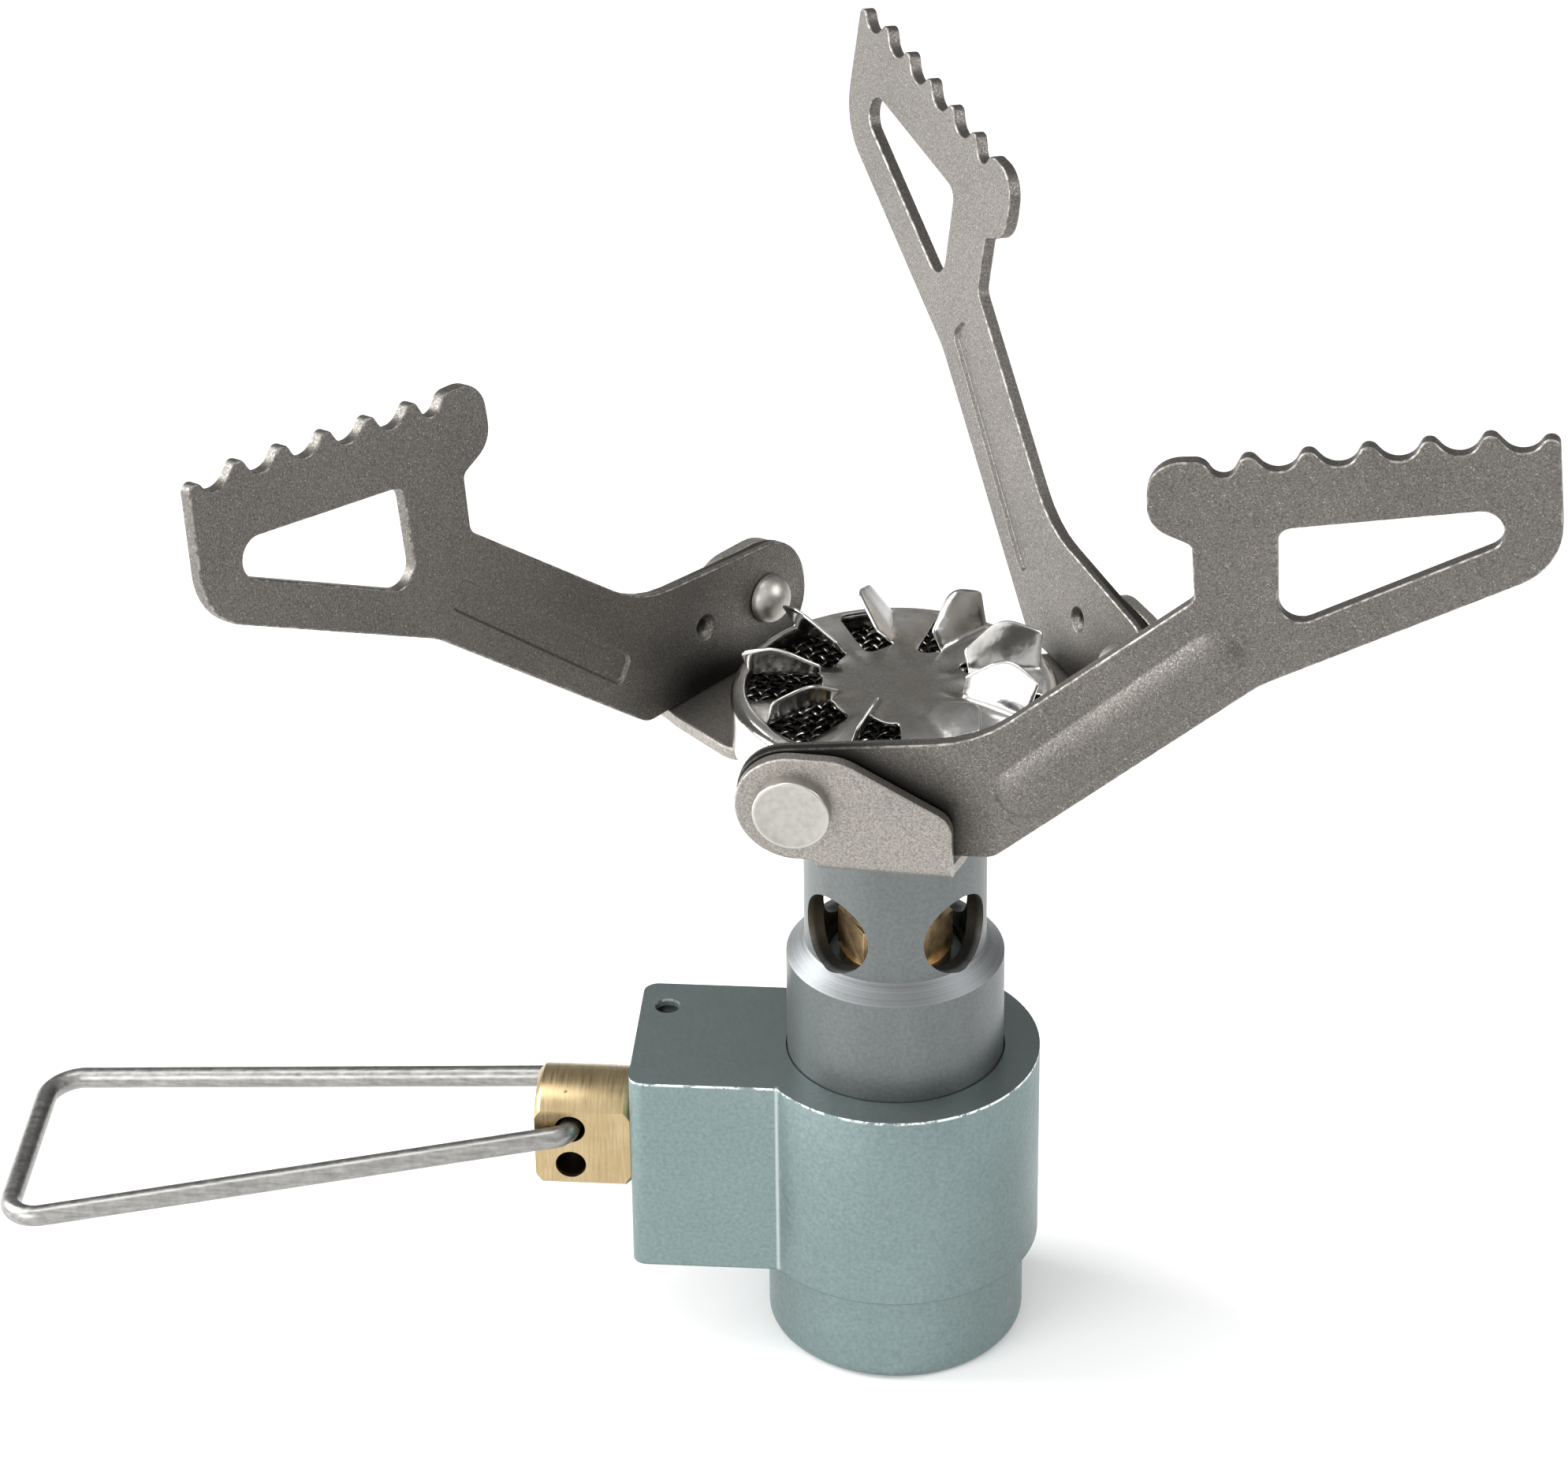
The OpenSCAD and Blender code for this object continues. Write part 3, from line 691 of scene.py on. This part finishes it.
def sheet_metal(outline, holes, front=(), back=(), creases=()):
    """Flat sheet with rolled edges, from 0 up to its thickness. Front features are on the upper face."""
    builder = Builder()
    turns = 3
    loops = [turned(outline, True)] + [turned(hole, False) for hole in holes]
    angles = [math.pi / 2 * i / turns for i in range(turns + 1)]
    tops, bottoms, borders = [], [], []
    for loop in loops:
        upper, lower = [], []
        inward = left_of(loop)
        for i, a in enumerate(angles):
            moved = inset(loop, ROLLED_EDGE * (1 - math.sin(a)))
            drop = ROLLED_EDGE * (1 - math.cos(a))
            edge = 1.0 if 0 < i < turns else 0.0
            for row, height, facing in ((upper, SHEET - drop, UP), (lower, drop, -UP)):
                row.append([builder.add((p.x, p.y, height), edge, facing * math.cos(a) - n * math.sin(a))
                            for p, n in zip(moved, inward)])
            if i == 0:
                borders.append(moved)
        rows = upper + lower[::-1]
        for a, b in zip(rows, rows[1:]):
            builder.strip(b, a)
        tops.append(upper[0])
        bottoms.append(lower[0])
    face_of_sheet(builder, borders, tops, SHEET, front, creases, True)
    face_of_sheet(builder, borders, bottoms, 0, back, creases, False)
    return builder


def lathe(profile, count, edges):
    """Turns a profile of (radius, height) about Z. Points at radius 0 become poles.

    The edges are the numbers of the worn points in the profile.
    """
    builder = Builder()
    rows = []
    for i, (radius, height) in enumerate(profile):
        edge = 1.0 if i in edges else 0.0
        if radius == 0:
            pole = builder.add((0, 0, height), edge)
            rows.append([pole] * count)
        else:
            rows.append([builder.add((radius * math.cos(a), radius * math.sin(a), height), edge)
                         for a in (math.tau * j / count for j in range(count))])
    for a, b in zip(rows, rows[1:]):
        for i in range(count):
            j = (i + 1) % count
            builder.faces.append(tuple(dict.fromkeys((a[i], a[j], b[j], b[i]))))
    return builder


def sweep(path, radius, sides):
    """Round bar along a path of points."""
    builder = Builder()
    rows = []
    along = (path[1] - path[0]).normalized()
    across = along.orthogonal().normalized()
    for i, point in enumerate(path):
        before, after = path[max(i - 1, 0)], path[min(i + 1, len(path) - 1)]
        heading = (after - before).normalized()
        across = (across - heading * across.dot(heading)).normalized()
        third = heading.cross(across)
        rows.append([builder.add(point + radius * (math.cos(a) * across + math.sin(a) * third))
                     for a in (math.tau * j / sides for j in range(sides))])
    builder.rings(rows)
    builder.faces += [tuple(reversed(rows[0])), tuple(rows[-1])]
    return builder


# ---- pot supports, bracket and rivets ----

TEETH = 6
SUPPORT_LIFT = {"front": 2.0, "right": 0.0, "left": -1.4}
RIVET_HOLE_R = 1.15
RIB_ENDS = (Vector((12.9, 1.2)), Vector((23.6, 10.4)))
RIB_HALF, RIB_RISE = 1.7, 0.55
GROOVE_HALF, GROOVE_ROUND, GROOVE_DEPTH = 0.95, 0.6, 0.25
DIMPLE = Vector((5.45, 0.45))
DIMPLE_R, DIMPLE_DEPTH = 0.8, 0.5


def arm_frame(arm):
    """Place of an arm: x along it, y up its sheet and z outward, with the origin on its rivet."""
    place, outward = joint_of("fold_" + arm)
    along = UP.cross(outward).normalized()
    turn = Matrix((along, outward.cross(along), outward)).transposed()
    return Matrix.Translation(place) @ turn.to_4x4()


def support_outline():
    """Corners of a pot support, with its toothed edge."""
    slope, pitch, rise, drop = math.radians(8.3), 3.21, 0.4, 1.9
    row, up = Vector((math.cos(slope), math.sin(slope))), Vector((-math.sin(slope), math.cos(slope)))
    first = Vector((25.4, 23.05))
    corners = [(-3.35, 3.05, 3.1), (-3.35, -3.3, 3.2), (11, -3.3, 1.5), (26, 8.85, 6),
               (42.2, 17.1, 4), (41.75, 25.9, 0.5)]
    for i in range(TEETH - 2, -1, -1):
        notch = first + row * pitch * (i + 0.5) - up * drop
        tip = first + row * pitch * i + up * rise
        corners += [(notch.x, notch.y, 1.2), (tip.x, tip.y, 0.5)]
    corners += [(24.1, 20.9, 0.75), (23.1, 22.7, 0.9), (20.05, 22.5, 2), (20, 18.55, 1.8), (22.4, 17.5, 0.5),
                (22.5, 14.05, 0.8), (10.3, 4.25, 8)]
    return rounded(corners, step=9)


def capsule(a, b, radius):
    """Outline of all points at a distance from the line a to b."""
    count = 10
    turn = math.atan2(b.y - a.y, b.x - a.x)
    points = []
    for centre, start in ((b, turn - math.pi / 2), (a, turn + math.pi / 2)):
        angles = [start + math.pi * i / count for i in range(count + 1)]
        points += [centre + radius * Vector((math.cos(t), math.sin(t))) for t in angles]
    return points


def smooth(t):
    """0 to 1 with a soft start and end."""
    t = max(0.0, min(1.0, t))
    return t * t * (3 - 2 * t)


def rib_features():
    """Loops of the raised rib on the outer face, lowest first."""
    bulge = (RIB_HALF ** 2 + RIB_RISE ** 2) / (2 * RIB_RISE)
    features = [(capsule(*RIB_ENDS, RIB_HALF + 0.12), 0, 0)]
    for share in (1, 0.94, 0.82, 0.66, 0.5, 0.34, 0.18, 0.04):
        reach = RIB_HALF * share
        lift = math.sqrt(bulge ** 2 - reach ** 2) - bulge + RIB_RISE
        slope = math.degrees(math.asin(reach / bulge))
        features.append((capsule(*RIB_ENDS, reach), lift, slope * (0.6 if share == 1 else 1)))
    return features


def groove_features():
    """Loops of the flat-floored groove on the inner face, and of the dimple near the rivet."""
    a, b = RIB_ENDS
    turn = Matrix.Rotation(math.atan2(b.y - a.y, b.x - a.x), 2)
    half = (b - a).length / 2 + GROOVE_HALF
    features = []
    for shrink, depth, slope in ((-0.05, 0, 0), (0.02, 0.15, 50), (0.12, 0.85, 50), (0.19, 1, 0)):
        x, y, r = half - shrink, GROOVE_HALF - shrink, GROOVE_ROUND - shrink * 0.9
        loop = rounded([(x, y, r), (-x, y, r), (-x, -y, r), (x, -y, r)], step=15)
        features.append(([(a + b) / 2 + turn @ p for p in turned(loop, True)], GROOVE_DEPTH * depth, -slope))
    for share in (1.08, 1, 0.88, 0.7, 0.45, 0.15):
        depth = DIMPLE_DEPTH * max(0, 1 - share * share)
        slope = math.degrees(math.atan(2 * DIMPLE_DEPTH * share / DIMPLE_R)) if share <= 1 else 0
        features.append((circle(DIMPLE, DIMPLE_R * share, 24), depth, -slope * (0.6 if share == 1 else 1)))
    return features


def pot_support(arm, material):
    """Stamped arm with teeth, a window and a pressed rib."""
    outline = support_outline()
    window = rounded([(27, 12.25, 1.2), (44.9, 21.4, 1.2), (27, 18.7, 0.9)], step=9)
    hole = circle((0, 0), RIVET_HOLE_R, 32)
    sheet = sheet_metal(outline, [window, hole], rib_features(), groove_features())
    lift = Matrix.Rotation(math.radians(SUPPORT_LIFT[arm]), 4, "Z")
    sheet.placed(arm_frame(arm) @ lift @ Matrix.Translation((0, 0, -SHEET / 2)))
    body = "support_" + arm
    return sheet.make("stamped_" + body, material, "titanium", body, ["pot_" + body])


EAR_GAP = 0.2
BEND_IN = 0.5
EAR_ROUND = 3.3
EAR_START, EAR_END = 1.2, 8.95
PLATE_R = 8.4
SPIGOT_R = 4.93
BEND_STEPS = 9


class ArmBend:
    """The bend between an arm of the bracket and its ear, in the arm's own turn about the stove's axis."""

    def __init__(self, arm):
        place, outward = joint_of("fold_" + arm)
        lean = math.asin(-outward.z)
        self.yaw = math.atan2(outward.x, -outward.y)
        rivet_place = Matrix.Rotation(-self.yaw, 3, "Z") @ place
        self.rivet_x = rivet_place.x
        out = Vector((-math.cos(lean), -math.sin(lean)))
        rise = Vector((-math.sin(lean), math.cos(lean)))
        # corner where the support's inner face meets the plate's top, in (y, z)
        middle = rivet_place.yz - out * (SHEET / 2)
        self.rivet_h = (middle.y - PLATE_TOP) / rise.y
        foot = middle - rise * self.rivet_h
        offset = SHEET + EAR_GAP - BEND_IN
        self.bend_h = (BEND_IN + offset * math.sin(lean)) / math.cos(lean)
        self.centre = foot + out * offset + rise * self.bend_h
        self.start = -self.centre.x
        self.turn = math.pi / 2 - lean
        self.radius = BEND_IN + SHEET / 2
        self.length = self.radius * self.turn

    def flat_v(self, height):
        """Distance along the flat blank of a point of the ear, from its height above the rivet."""
        return self.start + self.length + height - (self.bend_h - self.rivet_h)

    def warp(self, point):
        """Bends a point (along, -distance, height) of the flat blank up into place."""
        distance, height = -point.y, point.z
        if distance <= self.start:
            y, z = -distance, PLATE_BOTTOM + height
        else:
            run = distance - self.start
            a = min(run / self.radius, self.turn)
            r = BEND_IN + SHEET - height
            spare = max(0.0, run - self.length)
            y = self.centre.x - r * math.sin(a) - spare * math.cos(a)
            z = self.centre.y - r * math.cos(a) + spare * math.sin(a)
        return Matrix.Rotation(self.yaw, 3, "Z") @ Vector((point.x, y, z))


def bracket(material):
    """One sheet with three arms, whose ends are bent up into the ears that carry the supports."""
    corners, creases, holes = [], [], [circle((0, 0), SPIGOT_R, 64)]
    bends = {arm: ArmBend(arm) for arm in ARMS}
    for arm in ARMS:
        bend = bends[arm]
        turn = Matrix.Rotation(bend.yaw, 2)
        start, finish = bend.rivet_x + EAR_START, bend.rivet_x + EAR_END
        steps = [bend.start + bend.length * i / BEND_STEPS for i in range(BEND_STEPS + 1)]
        low = bend.flat_v(-EAR_ROUND)
        mid = bend.rivet_x
        local = [(start - 1.3, -PLATE_R + 0.9, 2), (start, -bend.start + 1.2, 0.5)]
        near = [v for v in steps if v < low - 0.1]
        local += [(start, -v, 0) for v in near]
        local += [(start, -low, 0.15), (mid - EAR_ROUND, -low, EAR_ROUND - 0.05),
                  (mid - EAR_ROUND, -bend.flat_v(EAR_ROUND), EAR_ROUND - 0.05),
                  (mid + 2.75, -bend.flat_v(EAR_ROUND), 3), (finish, -bend.flat_v(-0.17), 1.5)]
        local += [(finish, -v, 0) for v in reversed(steps)]
        local += [(finish + 0.35, -bend.start + 1.2, 0.4), (finish + 1.1, -7, 2)]
        corners += [(*(turn @ Vector(c[:2])), c[2]) for c in local]
        creases += [(turn @ Vector((start, -v)), turn @ Vector((finish, -v))) for v in near]
        past = steps[len(near)]
        creases.append((turn @ Vector((finish, -past)), turn @ Vector((start, -max(low, past)))))
        holes.append([turn @ p for p in circle((mid, -bend.flat_v(0)), RIVET_HOLE_R, 28)])
        # the plate's rim, up to a little before the next arm
        following = bends[ARMS[(ARMS.index(arm) + 1) % len(ARMS)]]
        a = math.atan2(-5.7, finish + 0.95) + bend.yaw
        b = math.atan2(-7.5, following.rivet_x + EAR_START - 1.25) + following.yaw - 0.16
        span = (b - a) % math.tau
        count = 7
        corners += [(PLATE_R * math.cos(a + span * i / count), PLATE_R * math.sin(a + span * i / count), 0)
                    for i in range(count + 1)]
    outline = rounded(corners, step=9)
    blank = sheet_metal(outline, holes, creases=creases)

    def bend_up(point):
        """Warps a point with the bend of the arm that it belongs to."""
        flat = point.xy
        if flat.length < PLATE_R + 0.5:
            return Vector((*flat, PLATE_BOTTOM + point.z))
        arm = min(ARMS, key=lambda name: (Matrix.Rotation(-bends[name].yaw, 2) @ flat).y)
        local = Matrix.Rotation(-bends[arm].yaw, 2) @ flat
        return bends[arm].warp(Vector((*local, point.z)))

    return blank.warped(bend_up).make("folded_bracket", material, "titanium", "stove", ["bracket"])


def rivet(arm, material):
    """Rivet with a flat outer head and a domed inner one."""
    low = -(SHEET / 2 + 0.08)
    face = SHEET / 2 + EAR_GAP + SHEET
    head_r, head_h, edge = 2.2, 0.75, 0.14
    dome_r, dome_h, shank_r = 1.5, 1.15, 1.1
    dome = [(dome_r * math.cos(a), low - dome_h * math.sin(a))
            for a in (math.radians(d) for d in range(90, 0, -10))]
    dome[0] = (0, low - dome_h)
    roll = [(head_r - edge + edge * math.cos(a), face + head_h - edge + edge * math.sin(a))
            for a in (math.radians(d) for d in range(0, 91, 22))]
    profile = dome + [(dome_r, low), (shank_r, low), (shank_r, face), (head_r, face)] + roll
    profile += [(head_r - edge - 0.1, face + head_h), (head_r - edge - 0.22, face + head_h - 0.05),
                (1.2, face + head_h - 0.07), (0, face + head_h - 0.05)]
    start = len(dome) + 4
    shape = lathe(profile, 56, range(start, start + len(roll))).placed(arm_frame(arm))
    piece = shape.make("rivet_" + arm, material, "rivet_steel", "stove", ["support_rivet_" + arm])
    return even_normals(piece, 40)


# ---- burner head ----

FINS = 9
FIN_START = 94
OPENING_ANGLE = 22
OPENING_IN, OPENING_OUT = 4.3, 8.6
FIN_RISE = 3.1
FIN_LEANS = (48, 57, 58, 58, 67, 33, 62, 66, 68)
CAP_SHEET = 0.24


def cap_height(radius, angle):
    """Height of the cap's top: dished in the middle, with a soft ridge running in from each fin."""
    ridge = 0.5 + 0.5 * math.cos(math.radians((angle - FIN_START + 2) * FINS))
    reach = smooth((radius - 2.4) / 2) * (1 - smooth((radius - 5.4) / 3))
    return CAP_TOP - 0.2 * (1 - smooth(radius / 4.2)) + 0.42 * (ridge - 0.35) * reach - 0.1


def burner_cap(material):
    """Pressed cap: its fins are cut on three sides and bent up beside the openings that they leave."""
    builder = Builder()
    sector = 360 / FINS
    open_steps, web_steps, web_rows = 4, 3, 5
    roll = 0.9
    offsets = [OPENING_ANGLE * i / open_steps for i in range(open_steps + 1)]
    offsets += [OPENING_ANGLE + (sector - OPENING_ANGLE) * i / web_steps for i in range(1, web_steps)]
    columns = [(i, FIN_START + sector * fin + offset)
               for fin in range(FINS) for i, offset in enumerate(offsets)]

    def at(radius, angle, height=None):
        a = math.radians(angle)
        z = cap_height(radius, angle) if height is None else height
        return Vector((radius * math.cos(a), radius * math.sin(a), z))

    def row(radius, height=None, wobble=0.0):
        """One ring of vertices, shaken a little where it borders an opening."""
        ring = []
        for i, angle in columns:
            shake = random.uniform(-wobble, wobble) if wobble and 0 < i < open_steps else 0
            ring.append(builder.add(at(radius + shake, angle, height)))
        return ring

    centre = builder.add(at(0, 0))
    inner = [row(r) for r in (1.2, 2.3, 3.3, 4.05)] + [row(OPENING_IN, wobble=0.07)]
    for i in range(len(columns)):
        builder.faces.append((centre, inner[0][i], inner[0][(i + 1) % len(columns)]))
    builder.rings(inner[::-1])
    web_radii = [OPENING_IN + (OPENING_OUT - OPENING_IN) * i / web_rows for i in range(1, web_rows)]
    web = [inner[-1]] + [row(r) for r in web_radii]
    outer = [row(OPENING_OUT, wobble=0.05)]
    for degrees in (80, 60, 40, 20, 0):
        a = math.radians(degrees)
        outer.append(row(CAP_R - roll + roll * math.cos(a), CAP_TOP - roll + roll * math.sin(a)))
    outer += [row(CAP_R, CAP_TOP - 2.2), row(CAP_R, CAP_LOW.z + 0.15), row(CAP_R, CAP_LOW.z)]
    web.append(outer[0])
    builder.rings(outer[::-1])
    for a, b in zip(web, web[1:]):
        for k, (i, _) in enumerate(columns):
            if i >= open_steps:
                j = (k + 1) % len(columns)
                builder.faces.append((a[k], b[k], b[j], a[j]))
    hinges = [[ring[k] for ring in web] for k, (i, _) in enumerate(columns) if i == 0]
    for fin, (hinge, lean) in enumerate(zip(hinges, FIN_LEANS)):
        add_fin(builder, hinge, FIN_START + sector * fin, lean)
    used = {v for face in builder.faces for v in face}
    order = {v: n for n, v in enumerate(sorted(used))}
    builder.points = [builder.points[v] for v in sorted(used)]
    builder.edge = [builder.edge[v] for v in sorted(used)]
    builder.faces = [tuple(order[v] for v in face) for face in builder.faces]
    piece = builder.make("finned_cap", material, "head_steel", "stove", ["burner_cap"])
    sheet = piece.modifiers.new("sheet", "SOLIDIFY")
    sheet.thickness = CAP_SHEET * MM
    sheet.offset = -1
    smooth_out = piece.modifiers.new("smooth", "SUBSURF")
    smooth_out.levels = smooth_out.render_levels = 2
    return piece


def add_fin(builder, hinge, angle, lean):
    """Grows one fin out of its hinge line, with a rounded root and a slightly wavy free edge."""
    a = math.radians(angle)
    outward, sideways = Vector((math.cos(a), math.sin(a), 0)), Vector((-math.sin(a), math.cos(a), 0))
    inner_rise, outer_drop, peak = 1.5, 0.7, 0.55
    root, steps = 0.3, 6
    count = len(hinge) - 1
    rows = [hinge]
    for step in range(1, steps + 1):
        share = step / steps
        line = []
        for i, vertex in enumerate(hinge):
            t = i / count
            top = inner_rise + (FIN_RISE - inner_rise) * smooth(t / peak)
            top -= outer_drop * smooth((t - peak) / (1 - peak))
            if i in (0, count):
                top -= 0.15
            height = (top + random.uniform(-0.06, 0.06)) * share
            bend = math.radians(lean + 8 * (t - 0.5)) * min(1.0, height / root)
            spread = 0.5 * (t - 0.4) * share
            dish = 0.06 * math.sin(math.pi * t) * math.sin(math.pi * share)
            tilt = Vector((0, 0, math.sin(bend))) + sideways * math.cos(bend)
            face = sideways * math.sin(bend) - Vector((0, 0, math.cos(bend)))
            place = builder.points[vertex] + tilt * height + outward * spread - face * dish
            line.append(builder.add(place))
        rows.append(line)
    for low, high in zip(rows, rows[1:]):
        for i in range(count):
            builder.faces.append((low[i], low[i + 1], high[i + 1], high[i]))


def flame_gauze(material):
    """Woven disc of wire under the cap's openings."""
    reach, pitch, wire, wave = GAUZE_HIGH.x - 0.1, 0.66, 0.1, 0.11
    per_pitch = 6
    builder = Builder()
    count = int(reach / pitch)
    turn = Matrix.Rotation(math.radians(38), 3, "Z")
    for direction in (0, 1):
        for n in range(-count, count + 1):
            offset = n * pitch
            half = math.sqrt(reach * reach - offset * offset)
            steps = int(half / pitch * per_pitch)
            path = []
            for i in range(-steps, steps + 1):
                s = pitch * i / per_pitch
                z = GAUZE_MIDDLE + wave * math.cos(math.pi * s / pitch + math.pi * (n + direction))
                path.append(turn @ Vector((s, offset, z) if direction == 0 else (offset, s, z)))
            if len(path) > 2:
                builder.merge(sweep(path, wire, 8))
    return builder.make("woven_gauze", material, "gauze", "stove", ["flame_mesh"])


# ---- wire handle and socket thread ----

def wire_handle(material):
    """Bent wire loop, hooked at both ends into one pair of holes in the knob."""
    pivot, _ = joint_of("handle_fold")
    radius, length, width, droop = 0.65, 34.2, 15.4, math.radians(7.85)
    end_y, leg_y, spacing = 0.9, 3.2, 1.5
    side = [(0, end_y, 0), (0, leg_y, 1), (length, width / 2, 2)]
    flat = rounded(side + [(x, -y, r) for x, y, r in reversed(side)], step=8, closed=False)
    dense = []
    for p, q in zip(flat, flat[1:]):
        pieces = max(1, round((q - p).length / spacing))
        dense += [p.lerp(q, i / pieces) for i in range(pieces)]
    dense.append(flat[-1])
    path = [pivot + Vector((-p.x * math.cos(droop), p.y, -p.x * math.sin(droop))) for p in dense]
    piece = sweep(path, radius, 24).make("wire_loop", material, "wire_steel", "handle", ["wire_handle"])
    return even_normals(piece, 50)


def socket_thread(material):
    """Ridge of the canister thread inside the socket."""
    pitch, root, crest = 25.4 / 28, SOCKET["r_mm"] + 0.02, SOCKET["r_mm"] - 0.47
    bottom, top = 0.45, SOCKET["length_mm"] - 0.45
    per_turn = 72
    count = int((top - bottom) / pitch * per_turn)
    builder = Builder()
    rows = []
    for i in range(count + 1):
        a = math.tau * i / per_turn
        z = bottom + pitch * i / per_turn
        fade = smooth(min(i, count - i) / (per_turn / 4))
        top_r = root + (crest - root) * max(0.04, fade)
        direction = Vector((math.cos(a), math.sin(a), 0))
        rows.append([builder.add(direction * r + UP * (z + dz))
                     for r, dz in ((root, -0.4), (top_r, -0.06), (top_r, 0.06), (root, 0.4))])
    builder.rings(rows)
    builder.faces += [tuple(rows[0]), tuple(reversed(rows[-1]))]
    piece = builder.make("socket_thread", material, "anodised_teal", "stove")
    return even_normals(piece, 30)


# ---- the CAD nodes that stay ----

def dress(node, material, bevel=0.0):
    """Gives a CAD node its material, and rolls its sharp edges."""
    piece = frame["nodes"][node]
    piece.data.materials.clear()
    piece.data.materials.append(material)
    if bevel:
        joined = piece.modifiers.new("joined_faces", "WELD")
        joined.merge_threshold = 0.002 * MM
        rolled = piece.modifiers.new("rolled_edges", "BEVEL")
        rolled.width = bevel * MM
        rolled.segments = 3
        rolled.limit_method = "ANGLE"
        rolled.angle_limit = math.radians(32)
        rolled.harden_normals = True


def main():
    make_camera()
    make_world()
    make_floor()
    softbox("key_light", -100, 38, distance=0.21, size=0.16, power=1.05, aim=(-0.1, 0.01, 0))
    softbox("front_light", -47, 17, distance=0.6, size=0.34, power=1.7)
    softbox("top_light", -95, 68, distance=0.5, size=0.2, power=0.6)
    softbox("right_light", 60, 55, distance=0.16, size=0.12, power=0.2, aim=(0.09, 0.03, 0))
    titanium = blasted_titanium("blasted_titanium", 0.14, painted_shade=True)
    steel = plain_steel("plain_steel", 0.48)
    brass = turned_brass()
    rubber = black_rubber()
    head = polished_head()
    riveted = rivet_steel()
    body = body_anodise()
    dress("valve_body", body, 0.13)
    dress("burner_tube", tube_anodise())
    dress("knob", brass, 0.1)
    dress("spindle", brass)
    dress("jet", jet_brass(), 0.12)
    # painted shade: the retaining pin is made near black for the dark hole that it sits in
    dress("retaining_pin", plain_steel("shade_dark_steel", 0.05), 0.1)
    dress("depressor_pin", steel, 0.1)
    dress("gas_filter", porous_bronze(), 0.05)
    dress("clamp_ring", steel, 0.08)
    dress("burner_cup", head)
    dress("canister_seal", rubber)
    dress("spindle_seals", rubber)
    for arm in ARMS:
        pot_support(arm, titanium)
        rivet(arm, riveted)
    # painted light: the bracket is the same titanium at twice the level, partly a lighter finish and partly
    # lighter to stand in for the brighter light on its ears
    bracket(blasted_titanium("titanium_painted_lighter", 0.28))
    burner_cap(head)
    flame_gauze(dark_gauze())
    wire_handle(satin_wire())
    socket_thread(body)


main()
bpy.context.scene.view_settings.view_transform = "Standard"
